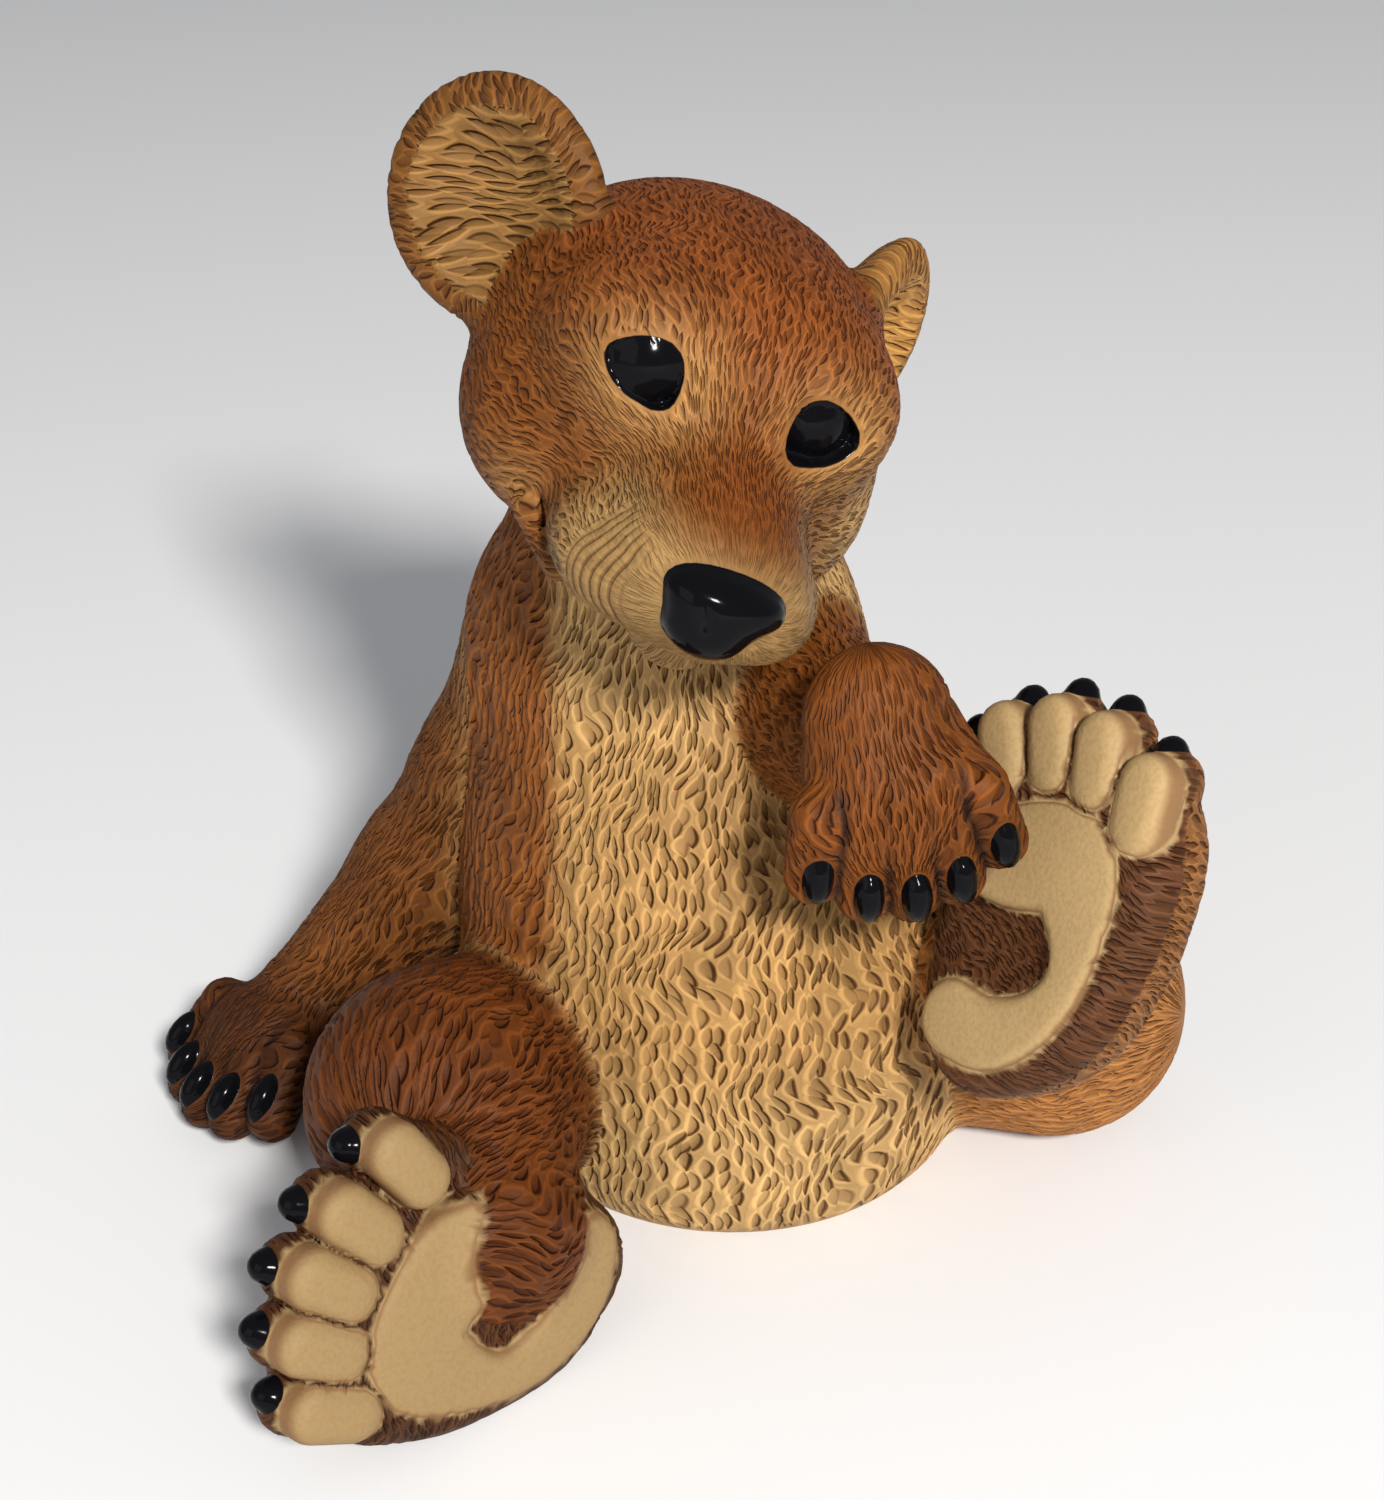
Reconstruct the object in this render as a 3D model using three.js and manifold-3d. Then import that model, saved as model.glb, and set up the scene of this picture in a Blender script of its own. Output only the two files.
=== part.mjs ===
// Seated bear cub, one solid cast resin figurine, in millimetres with +Z up.
// The cub faces -Y, +X is its left side, and the origin lies under its seat on the flat underside.
//
// The form is modelled as clay: each body is a function (x, y, z) that gives the distance to its
// skin, below zero inside. Bodies are melted together or carved out of each other with a soft seam,
// and at the end one closed faceted skin is laid round the whole and cut flat on the ground.

import * as THREE from "three";
import Module from "manifold-3d";

const wasm = await Module();
wasm.setup();

const DEGREE = Math.PI / 180;

// Driving sizes of the figure.
const SEAT = { at: [10, -16, 24], radius: 62.5, half: 36, round: 30 };
const BELLY = { at: [6, -10, 62], radii: [64, 64, 62] };
const CHEST = { at: [-7, 0, 112], radii: [45, 45, 60] };
const NECK = { at: [-7, 2, 152], radii: [34, 34, 30] };
const SHOULDERS = [
  { at: [-27, 6, 126], radii: [22, 26, 30] },
  { at: [13, 2, 128], radii: [24, 26, 30] },
];

// The head looks ahead and a little to its left, and leans well over to its left.
const HEAD = { at: [-2, -8, 193], yaw: 9.5, pitch: 3, roll: 24.5 };
const EYE = {
  middle: -4,
  side: 18.4,
  front: -36.5,
  up: 17,
  radii: [10.6, 10.3, 10.3],
  splay: 0.25,
  round: 4,
  corners: [[10.4, 0.2], [2.9, 6.9], [-5.4, 6.5], [-9.3, -1.2], [-7.4, -7.3], [4.8, -6.4]],
};
const EAR = {
  disc: [26, 9, 28.5],
  dish: [20.5, 12, 22.5],
  curl: 0.006,
  right: { at: [-53.5, 10, 21], turn: 32, lean: 43 },
  left: { at: [43, 17, 17], turn: 50, lean: 22 },
};

// Feet and hands have five digits each, numbered from the inner one outwards.
const DIGITS = [-2, -1, 0, 1, 2];
const TOE = { back: 6, rootRadius: 6.8, ahead: 3.6, tipRadius: 7, thick: 5.5, round: 4.6 };
const TOE_CLAW = { ahead: 9.6, inward: 2.8, down: 11, radii: [5, 4, 4.4] };
const FINGER = { spread: 10.2, reach: 33.5, fall: 2, thick: 6.6, tip: 6.3 };
const FINGER_CLAW = { back: 0.5, up: 4.6, radii: [6.4, 3.3, 3.6], dip: 26 };

// The pads of the sole, a line of discs [x, y, radius] from behind the toes round to the heel, and
// the fur-covered block of the foot under them.
const PAD_LINE = [
  [2, -17.5, 5], [7, -8.5, 11.7], [12.2, 4, 12.8], [12, 12.5, 12.8],
  [-9, 20, 5.3], [-22.5, 15, 6.3], [-32, 3, 8.6], [-32, -8, 9],
];
const PAD = { thick: 5, round: 3.2 };
const BLOCK_LINE = [[-31, -3, 16.5], [-20, 8, 20], [0, 11, 22], [14, 6, 26]];
const BLOCK = { top: -1.2, thick: 12, round: 9 };
const CORNER_CUTS = 2;

// Where hands and feet sit: a point, the way the digits point, and the way the back or sole faces.
const RIGHT_FOOT = frame([-48, -130, 29.5], [-0.76, -0.55, 0.35], [0.64, -0.72, 0.265]);
const LEFT_FOOT = frame([71.6, -79, 101], [0.3, 0.31, 0.9], [-0.73, -0.53, 0.43]);
const RIGHT_HAND = frame([-101, -12.5, 22], [-0.7, -0.6, -0.3], [-0.35, -0.2, 0.9]);
const LEFT_HAND = frame([40, -82, 142], [0.16, -0.3, -0.93], [0.12, -0.93, 0.3]);

// Sizes of the faceted skin.
const CELL = 2.6;
const FACETS = 9700;
const BLOCK_LOW = [-146, -169, -14];
const BLOCK_HIGH = [134, 62, 268];
const GROUND_SLAB = 400;

// Basic bodies of clay.

// Unit axes of a body turned by degrees about x, then y, then z.
function turned([aboutX, aboutY, aboutZ]) {
  const euler = new THREE.Euler(aboutX * DEGREE, aboutY * DEGREE, aboutZ * DEGREE, "ZYX");
  const axes = [new THREE.Vector3(), new THREE.Vector3(), new THREE.Vector3()];
  new THREE.Matrix4().makeRotationFromEuler(euler).extractBasis(...axes);
  return axes.map((axis) => axis.toArray());
}

function ball([cx, cy, cz], [rx, ry, rz], turn = [0, 0, 0]) {
  const [ax, ay, az] = turned(turn);
  const least = Math.min(rx, ry, rz);
  return (x, y, z) => {
    x -= cx;
    y -= cy;
    z -= cz;
    const u = (ax[0] * x + ax[1] * y + ax[2] * z) / rx;
    const v = (ay[0] * x + ay[1] * y + ay[2] * z) / ry;
    const w = (az[0] * x + az[1] * y + az[2] * z) / rz;
    const near = Math.sqrt(u * u + v * v + w * w);
    const slope = Math.sqrt((u / rx) ** 2 + (v / ry) ** 2 + (w / rz) ** 2);
    return slope > 1e-9 ? (near * (near - 1)) / slope : -least;
  };
}

// A round limb from a to b that tapers; squash below 1 thins it along z.
function limb(a, b, startRadius, endRadius, squash = 1) {
  const [dx, dy, dz] = [b[0] - a[0], b[1] - a[1], b[2] - a[2]];
  const square = dx * dx + dy * dy + dz * dz;
  const scale = (1 + squash) / 2;
  return (x, y, z) => {
    x -= a[0];
    y -= a[1];
    z -= a[2];
    const along = Math.min(1, Math.max(0, (x * dx + y * dy + z * dz) / square));
    x -= along * dx;
    y -= along * dy;
    z = (z - along * dz) / squash;
    const radius = startRadius + (endRadius - startRadius) * along;
    return (Math.sqrt(x * x + y * y + z * z) - radius) * scale;
  };
}

// A flat tapering strip in two coordinates.
function strip([ax, ay, startRadius], [bx, by, endRadius]) {
  const [dx, dy] = [bx - ax, by - ay];
  const square = dx * dx + dy * dy;
  return (x, y) => {
    const along = Math.min(1, Math.max(0, ((x - ax) * dx + (y - ay) * dy) / square));
    const radius = startRadius + (endRadius - startRadius) * along;
    return Math.hypot(x - ax - along * dx, y - ay - along * dy) - radius;
  };
}

// Cuts the corners of a line of discs.
function cornersCut(line) {
  const between = (a, b, share) => a.map((value, i) => value + share * (b[i] - value));
  const pairs = line.slice(1).map((disc, i) => [line[i], disc]);
  const cut = pairs.flatMap(([a, b]) => [between(a, b, 0.25), between(a, b, 0.75)]);
  return [line[0], ...cut, line[line.length - 1]];
}

// A flat body with rounded rims along a line of discs, from z = top down by twice its thickness.
function slab(line, top, thick, round) {
  for (let cut = 0; cut < CORNER_CUTS && line.length > 2; cut++) {
    line = cornersCut(line);
  }
  const strips = line.slice(1).map((disc, i) => strip(line[i], disc));
  return (x, y, z) => {
    let outline = Infinity;
    for (const piece of strips) {
      outline = Math.min(outline, piece(x, y));
    }
    const beside = outline + round;
    const above = Math.abs(z - top + thick) - thick + round;
    const inside = Math.min(Math.max(beside, above), 0);
    return inside + Math.hypot(Math.max(beside, 0), Math.max(above, 0)) - round;
  };
}

// An upright drum with rounded rims.
function drum([cx, cy, cz], radius, half, round) {
  return (x, y, z) => {
    const across = Math.hypot(x - cx, y - cy) - (radius - round);
    const upright = Math.abs(z - cz) - (half - round);
    const inside = Math.min(Math.max(across, upright), 0);
    return inside + Math.hypot(Math.max(across, 0), Math.max(upright, 0)) - round;
  };
}

// Joins two distances with a soft seam.
function melt(a, b, seam) {
  const overlap = seam - Math.abs(a - b);
  const joined = Math.min(a, b);
  return overlap > 0 ? joined - (overlap * overlap) / (4 * seam) : joined;
}

// Takes the second distance out of the first.
function carve(a, b, seam) {
  return -melt(-a, b, seam);
}

// Melts a list of [body, seam] pairs into one body.
function melted(pairs) {
  return (x, y, z) => {
    let distance = pairs[0][0](x, y, z);
    for (let i = 1; i < pairs.length; i++) {
      distance = melt(distance, pairs[i][0](x, y, z), pairs[i][1]);
    }
    return distance;
  };
}

// Square axes at a point: x points ahead, z is up made square to it, and y completes them.
function frame(at, ahead, up) {
  const x = new THREE.Vector3(...ahead).normalize();
  const z = new THREE.Vector3(...up);
  z.addScaledVector(x, -z.dot(x)).normalize();
  const y = new THREE.Vector3().crossVectors(z, x);
  return { at, x: x.toArray(), y: y.toArray(), z: z.toArray() };
}

// Places a body that is modelled in its own frame; side -1 mirrors it across.
function placed(body, { at, x: ax, y: ay, z: az }, side = 1) {
  return (x, y, z) => {
    x -= at[0];
    y -= at[1];
    z -= at[2];
    return body(
      ax[0] * x + ax[1] * y + ax[2] * z,
      side * (ay[0] * x + ay[1] * y + ay[2] * z),
      az[0] * x + az[1] * y + az[2] * z,
    );
  };
}

// Head, in its own frame: x to its left, y to its back, z to its crown.

function headFrame() {
  const yaw = HEAD.yaw * DEGREE;
  const pitch = HEAD.pitch * DEGREE;
  const gaze = new THREE.Vector3(
    Math.sin(yaw) * Math.cos(pitch),
    -Math.cos(yaw) * Math.cos(pitch),
    -Math.sin(pitch),
  );
  const left = new THREE.Vector3(Math.cos(yaw), Math.sin(yaw), 0);
  left.applyAxisAngle(gaze, -HEAD.roll * DEGREE);
  const crown = new THREE.Vector3().crossVectors(left, gaze).negate();
  return { at: HEAD.at, x: left.toArray(), y: gaze.negate().toArray(), z: crown.toArray() };
}

// Skull, cheeks, snout and upper lip, without the lower jaw.
function skullPairs() {
  const pairs = [
    [ball([0, 4, 4], [47, 45, 40]), 0],
    [ball([0, -19, 17], [32, 25, 21]), 12],
    [limb([0, -22, -4], [0, -64, -12], 27, 19, 0.9), 12],
    [ball([0, -68, -14], [21, 17, 14]), 8],
  ];
  for (const side of [-1, 1]) {
    pairs.push([ball([side * 23, -8, -13], [25, 30, 23]), 12]);
    pairs.push([ball([side * 20 - 2, -28, 16], [19, 17.2, 16]), 12]);
    pairs.push([ball([side * 15, -49, -19.5], [15.5, 26, 13]), 6]);
  }
  return pairs;
}

const skull = melted(skullPairs());
const lowerJaw = limb([0, -16, -26], [0, -62, -29], 17, 10, 0.8);
const nose = melted([
  [ball([-1, -82.5, -9.5], [13.2, 9, 6]), 0],
  [ball([-2.5, -83, -15.5], [9.5, 8.5, 7.5]), 4],
]);
const nostril = limb([7.5, -92.5, -9.5], [5, -92, -13.5], 2.2, 1.3);
const lipCleft = limb([-2, -92, -18], [-2, -88, -27], 0.9, 1.3);
const lipCorner = limb([30.5, -30, -25.5], [23, -44, -31], 4.6, 4);
const mouthCorner = limb([29, -35, -21.5], [27, -39, -28], 1.3, 2);
const smileFold = limb([34.5, -32.5, -21.5], [32.5, -30, -28], 1, 1.3);
const eyeball = ball([EYE.side, EYE.front, EYE.up], EYE.radii);

// The opening between the lids, a rounded outline through its corners.
function eyeOpening(u, w) {
  let opening;
  EYE.corners.forEach(([u0, w0], i) => {
    const [u1, w1] = EYE.corners[(i + 1) % EYE.corners.length];
    const beyond = ((w1 - w0) * (u - u0) - (u1 - u0) * (w - w0)) / Math.hypot(u1 - u0, w1 - w0);
    opening = i === 0 ? beyond : carve(opening, -beyond, EYE.round);
  });
  return opening;
}

// A round ear that is dished in front and curls round a little at its sides.
const earDisc = ball([0, 4, 0], EAR.disc);
const earDish = ball([0, -8, 1], EAR.dish);

function ear(side, { at, turn, lean }) {
  const cosTurn = Math.cos(side * turn * DEGREE);
  const sinTurn = Math.sin(side * turn * DEGREE);
  const cosLean = Math.cos(side * lean * DEGREE);
  const sinLean = Math.sin(side * lean * DEGREE);
  return (x, y, z) => {
    x -= at[0];
    y -= at[1];
    z -= at[2];
    const across = cosTurn * x + sinTurn * y;
    const back = cosTurn * y - sinTurn * x;
    const u = side * (cosLean * across - sinLean * z);
    const w = sinLean * across + cosLean * z;
    const v = back + EAR.curl * u * u;
    return carve(earDisc(u, v, w), earDish(u, v, w), 3);
  };
}

const rightEar = ear(-1, EAR.right);
const leftEar = ear(1, EAR.left);

function head(x, y, z) {
  const side = Math.abs(x);
  const jaw = melt(lowerJaw(x, y, z), lipCorner(side, y, z), 4);
  let distance = melt(skull(x, y, z), jaw, 1.2);
  distance = melt(distance, x < 0 ? rightEar(x, y, z) : leftEar(x, y, z), 5);
  if (y < EYE.front) {
    const outward = Math.abs(x - EYE.middle);
    const across = outward - EYE.side + EYE.splay * (y - EYE.front);
    distance = carve(distance, eyeOpening(across, z - EYE.up), 1);
    distance = melt(distance, eyeball(outward, y, z), 0.5);
  }
  distance = carve(distance, Math.min(mouthCorner(side, y, z), smileFold(side, y, z)), 1);
  distance = melt(distance, nose(x, y, z), 1.2);
  return carve(distance, Math.min(nostril(side, y, z), lipCleft(x, y, z)), 0.8);
}

// Foot, in its own frame: x from heel to toes, y to the outer edge, z out of the sole.

const footBlock = melted([
  [slab(BLOCK_LINE, BLOCK.top, BLOCK.thick, BLOCK.round), 0],
  [ball([-8, -12, -17], [24, 18, 13]), 8],
]);
const archHollow = ball([-12, -6, 5], [12, 22, 11]);
const solePad = slab(PAD_LINE, 0, PAD.thick, PAD.round);

// The toes stand in an arc and all lean to the inner side.
const toes = DIGITS.map((digit) => {
  const x = 35.2 + 3.3 * digit - 2.6 * digit * digit;
  const y = -7.5 + 13.2 * digit + 0.45 * digit * digit;
  const turn = (8 * digit - 24) * DEGREE;
  const onAxis = (distance) => [x + distance * Math.cos(turn), y + distance * Math.sin(turn)];
  const line = [
    [...onAxis(-TOE.back), TOE.rootRadius],
    [...onAxis(TOE.ahead), TOE.tipRadius],
  ];
  const clawAt = [x + TOE_CLAW.ahead, y - TOE_CLAW.inward, -TOE_CLAW.down];
  return {
    pad: slab(line, 0.4, TOE.thick, TOE.round),
    back: limb([x - 16, 0.8 * y, -16], [...onAxis(5), -11], 9, 7.2),
    claw: ball(clawAt, TOE_CLAW.radii),
  };
});

function foot(x, y, z) {
  let distance = carve(footBlock(x, y, z), archHollow(x, y, z), 6);
  let backs = Infinity;
  let toePads = Infinity;
  let claws = Infinity;
  for (const toe of toes) {
    backs = Math.min(backs, toe.back(x, y, z));
    toePads = Math.min(toePads, toe.pad(x, y, z));
    claws = Math.min(claws, toe.claw(x, y, z));
  }
  distance = melt(distance, backs, 3);
  distance = melt(distance, toePads, 1);
  distance = melt(distance, solePad(x, y, z), 1);
  return melt(distance, claws, 0.8);
}

// Hand, in its own frame: x from wrist to fingertips, y across, z out of the back of the hand.

const palm = limb([-6, 0, 0], [8, 1.5, 0], 16, 20.5, 0.68);

const fingers = DIGITS.map((digit) => {
  const across = 2 + FINGER.spread * digit;
  const ahead = FINGER.reach - FINGER.fall * digit * digit;
  const root = [12, 1 + 8.6 * digit, 5.2];
  const clawAt = [ahead - FINGER_CLAW.back, across, FINGER_CLAW.up];
  return {
    flesh: limb(root, [ahead, across, -2], FINGER.thick, FINGER.tip),
    claw: ball(clawAt, FINGER_CLAW.radii, [0, FINGER_CLAW.dip, 4 * digit]),
  };
});

function hand(x, y, z) {
  let flesh = Infinity;
  let claws = Infinity;
  for (const finger of fingers) {
    flesh = melt(flesh, finger.flesh(x, y, z), 0.8);
    claws = Math.min(claws, finger.claw(x, y, z));
  }
  return melt(melt(palm(x, y, z), flesh, 3), claws, 0.6);
}

// Torso and limbs, in the figure's own frame.

const torso = melted([
  [drum(SEAT.at, SEAT.radius, SEAT.half, SEAT.round), 0],
  [ball(BELLY.at, BELLY.radii), 20],
  [ball(CHEST.at, CHEST.radii), 22],
  [ball(NECK.at, NECK.radii), 14],
  [ball(SHOULDERS[0].at, SHOULDERS[0].radii), 12],
  [ball(SHOULDERS[1].at, SHOULDERS[1].radii), 12],
]);

const rightArm = melted([
  [limb([-31, 6, 128], [-51, 4, 86], 21, 17.5), 0],
  [limb([-51, 4, 86], [-67, 2, 56], 17.5, 19.5), 8],
  [limb([-67, 2, 56], [-96, -8, 27], 19, 14), 6],
]);

const leftArm = melted([
  [limb([14, 0, 126], [32, -44, 125], 22, 18.5), 0],
  [limb([32, -44, 125], [38, -72, 134], 18.5, 15), 6],
]);

const rightLeg = melted([
  [limb([-20, -15, 24], [-59, -74, 42], 27, 31), 0],
  [limb([-56, -76, 42], [-45, -108, 32], 28, 20), 10],
]);

const leftLeg = melted([
  [limb([30, -8, 34], [91, -24, 31], 36, 31), 0],
  [limb([92, -28, 40], [74, -58, 66], 29, 20), 10],
]);

// Each part melts into the rest with its wide seam near the joint and the narrow one elsewhere.
// The middle and radius of the ball round a part save working it out far away from it.
const PARTS = [
  {
    body: placed(head, headFrame()),
    joint: [-6, 0, 165], reach: 45, wide: 10, narrow: 2, middle: HEAD.at, radius: 115,
  },
  {
    body: rightArm,
    joint: [-34, 6, 134], reach: 35, wide: 14, narrow: 2, middle: [-65, 0, 80], radius: 92,
  },
  {
    body: leftArm,
    joint: [20, 0, 134], reach: 35, wide: 14, narrow: 2, middle: [28, -35, 130], radius: 72,
  },
  {
    body: rightLeg,
    joint: [-18, -10, 38], reach: 45, wide: 14, narrow: 3, middle: [-40, -60, 38], radius: 98,
  },
  {
    body: leftLeg,
    joint: [30, -6, 36], reach: 45, wide: 14, narrow: 3, middle: [65, -25, 45], radius: 92,
  },
  {
    body: placed(foot, RIGHT_FOOT),
    joint: [-45, -108, 32], reach: 30, wide: 12, narrow: 3, middle: RIGHT_FOOT.at, radius: 66,
  },
  {
    body: placed(foot, LEFT_FOOT, -1),
    joint: [74, -58, 66], reach: 30, wide: 12, narrow: 3, middle: LEFT_FOOT.at, radius: 66,
  },
  {
    body: placed(hand, RIGHT_HAND),
    joint: [-99, -8, 26], reach: 25, wide: 8, narrow: 2, middle: RIGHT_HAND.at, radius: 58,
  },
  {
    body: placed(hand, LEFT_HAND),
    joint: [39, -72, 136], reach: 25, wide: 8, narrow: 2, middle: LEFT_HAND.at, radius: 58,
  },
];

function bear(x, y, z) {
  let distance = torso(x, y, z);
  for (const part of PARTS) {
    const [mx, my, mz] = part.middle;
    const away = Math.hypot(x - mx, y - my, z - mz) - part.radius;
    if (away < distance + part.wide) {
      const [jx, jy, jz] = part.joint;
      const nearness = Math.exp(-((Math.hypot(x - jx, y - jy, z - jz) / part.reach) ** 2));
      const seam = part.narrow + (part.wide - part.narrow) * nearness;
      distance = melt(distance, part.body(x, y, z), seam);
    }
  }
  return distance;
}

// Lays a closed skin of triangles over a body, by cutting a grid of cubes into six tetrahedra each.
function skinOf(body, low, high, cell) {
  const count = low.map((value, axis) => Math.ceil((high[axis] - value) / cell) + 1);
  const stride = [1, count[0], count[0] * count[1]];
  const depth = new Float64Array(stride[2] * count[2]);
  for (let k = 0, at = 0; k < count[2]; k++) {
    for (let j = 0; j < count[1]; j++) {
      // Far from the skin, the points up to it need no working out.
      let known = 0;
      for (let i = 0; i < count[0]; i++, at++) {
        if (known > 0) {
          depth[at] = depth[at - 1];
          known -= 1;
        } else {
          depth[at] = body(low[0] + i * cell, low[1] + j * cell, low[2] + k * cell);
          known = Math.floor((0.5 * Math.abs(depth[at])) / cell) - 2;
        }
      }
    }
  }

  const points = [];
  const faces = [];
  const crossings = new Map();
  const place = (index) => [
    low[0] + (index % stride[1]) * cell,
    low[1] + (Math.floor(index / stride[1]) % count[1]) * cell,
    low[2] + Math.floor(index / stride[2]) * cell,
  ];

  // The point where the edge from an inner to an outer corner meets the skin.
  function crossing(inner, outer) {
    const key = Math.min(inner, outer) * depth.length + Math.max(inner, outer);
    let index = crossings.get(key);
    if (index === undefined) {
      const share = depth[inner] / (depth[inner] - depth[outer]);
      const t = Math.min(0.95, Math.max(0.05, share));
      const from = place(inner);
      const to = place(outer);
      index = points.length;
      points.push(from.map((value, axis) => value + t * (to[axis] - value)));
      crossings.set(key, index);
    }
    return index;
  }

  // One triangle between three cut edges, turned so that it faces the outer corners.
  function face(cuts, innerCorner, outerCorner) {
    const middles = cuts.map(([a, b]) => {
      const from = place(a);
      const to = place(b);
      return new THREE.Vector3().fromArray(from.map((value, axis) => (value + to[axis]) / 2));
    });
    const normal = middles[1].clone().sub(middles[0]);
    normal.cross(middles[2].clone().sub(middles[0]));
    const outward = new THREE.Vector3(...place(outerCorner));
    outward.sub(new THREE.Vector3(...place(innerCorner)));
    const [a, b, c] = cuts.map(([inner, outer]) => crossing(inner, outer));
    faces.push(normal.dot(outward) > 0 ? [a, b, c] : [a, c, b]);
  }

  const steps = [
    [0, 1, 2], [0, 2, 1], [1, 0, 2], [1, 2, 0], [2, 0, 1], [2, 1, 0],
  ];
  for (let k = 0; k < count[2] - 1; k++) {
    for (let j = 0; j < count[1] - 1; j++) {
      for (let i = 0; i < count[0] - 1; i++) {
        const base = i + j * stride[1] + k * stride[2];
        const top = base + stride[0] + stride[1] + stride[2];
        if (Math.abs(depth[base]) > 4 * cell && depth[base] * depth[top] > 0) {
          continue;
        }
        for (const [first, second] of steps) {
          const middle = base + stride[first];
          const corners = [base, middle, middle + stride[second], top];
          const inner = corners.filter((corner) => depth[corner] < 0);
          const outer = corners.filter((corner) => depth[corner] >= 0);
          if (inner.length === 1) {
            face(outer.map((corner) => [inner[0], corner]), inner[0], outer[0]);
          } else if (inner.length === 3) {
            face(inner.map((corner) => [corner, outer[0]]), inner[0], outer[0]);
          } else if (inner.length === 2) {
            const [a, b] = inner;
            const [c, d] = outer;
            face([[a, c], [a, d], [b, d]], a, c);
            face([[a, c], [b, d], [b, c]], a, c);
          }
        }
      }
    }
  }
  return { points, faces };
}

// Keeps the largest connected shell, so that no bubble stays inside.
function largestShell({ points, faces }) {
  const parent = points.map((point, index) => index);
  const root = (index) => {
    while (parent[index] !== index) {
      parent[index] = parent[parent[index]];
      index = parent[index];
    }
    return index;
  };
  for (const [a, b, c] of faces) {
    parent[root(a)] = root(b);
    parent[root(b)] = root(c);
  }
  const sizes = new Map();
  for (const [a] of faces) {
    sizes.set(root(a), (sizes.get(root(a)) ?? 0) + 1);
  }
  const largest = [...sizes].reduce((best, entry) => (entry[1] > best[1] ? entry : best))[0];
  return { points, faces: faces.filter(([a]) => root(a) === largest) };
}

// Draws every point onto the skin along the body's slope.
function settle(points, body) {
  const step = 0.2;
  for (const point of points) {
    const [x, y, z] = point;
    const slope = [
      body(x + step, y, z) - body(x - step, y, z),
      body(x, y + step, z) - body(x, y - step, z),
      body(x, y, z + step) - body(x, y, z - step),
    ].map((difference) => difference / (2 * step));
    const square = slope[0] ** 2 + slope[1] ** 2 + slope[2] ** 2;
    const move = Math.max(-CELL / 3, Math.min(CELL / 3, body(x, y, z) / Math.max(square, 0.25)));
    slope.forEach((value, axis) => {
      point[axis] -= move * value;
    });
  }
}

// Fine work needs more facets than the plain back and limbs do.
function fineness(x, y, z) {
  const spots = [
    { at: [5, -92, 178], reach: 26, gain: 5 },
    { at: [-14, -50, 212], reach: 16, gain: 6 },
    { at: [20, -50, 201], reach: 16, gain: 6 },
    { at: RIGHT_FOOT.at, reach: 46, gain: 2 },
    { at: LEFT_FOOT.at, reach: 46, gain: 2 },
    { at: [46, -92, 126], reach: 30, gain: 2 },
    { at: [-118, -28, 14], reach: 26, gain: 2 },
    { at: [-46, 5, 232], reach: 34, gain: 1.5 },
  ];
  let gain = 1;
  for (const { at, reach, gain: extra } of spots) {
    const away = Math.hypot(x - at[0], y - at[1], z - at[2]) / reach;
    gain += extra * Math.exp(-away * away);
  }
  return gain;
}

// A queue that always hands out its cheapest entry first.
class CheapestFirst {
  entries = [];

  push(entry) {
    const { entries } = this;
    let at = entries.push(entry) - 1;
    while (at > 0 && entries[(at - 1) >> 1].cost > entry.cost) {
      entries[at] = entries[(at - 1) >> 1];
      at = (at - 1) >> 1;
    }
    entries[at] = entry;
  }

  pop() {
    const { entries } = this;
    const first = entries[0];
    const last = entries.pop();
    const size = entries.length;
    if (size > 0) {
      let at = 0;
      for (let next = 1; next < size; next = 2 * at + 1) {
        if (next + 1 < size && entries[next + 1].cost < entries[next].cost) {
          next += 1;
        }
        if (entries[next].cost >= last.cost) {
          break;
        }
        entries[at] = entries[next];
        at = next;
      }
      entries[at] = last;
    }
    return first;
  }
}

function normalOf(a, b, c) {
  const [ux, uy, uz] = [b[0] - a[0], b[1] - a[1], b[2] - a[2]];
  const [vx, vy, vz] = [c[0] - a[0], c[1] - a[1], c[2] - a[2]];
  return [uy * vz - uz * vy, uz * vx - ux * vz, ux * vy - uy * vx];
}

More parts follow.
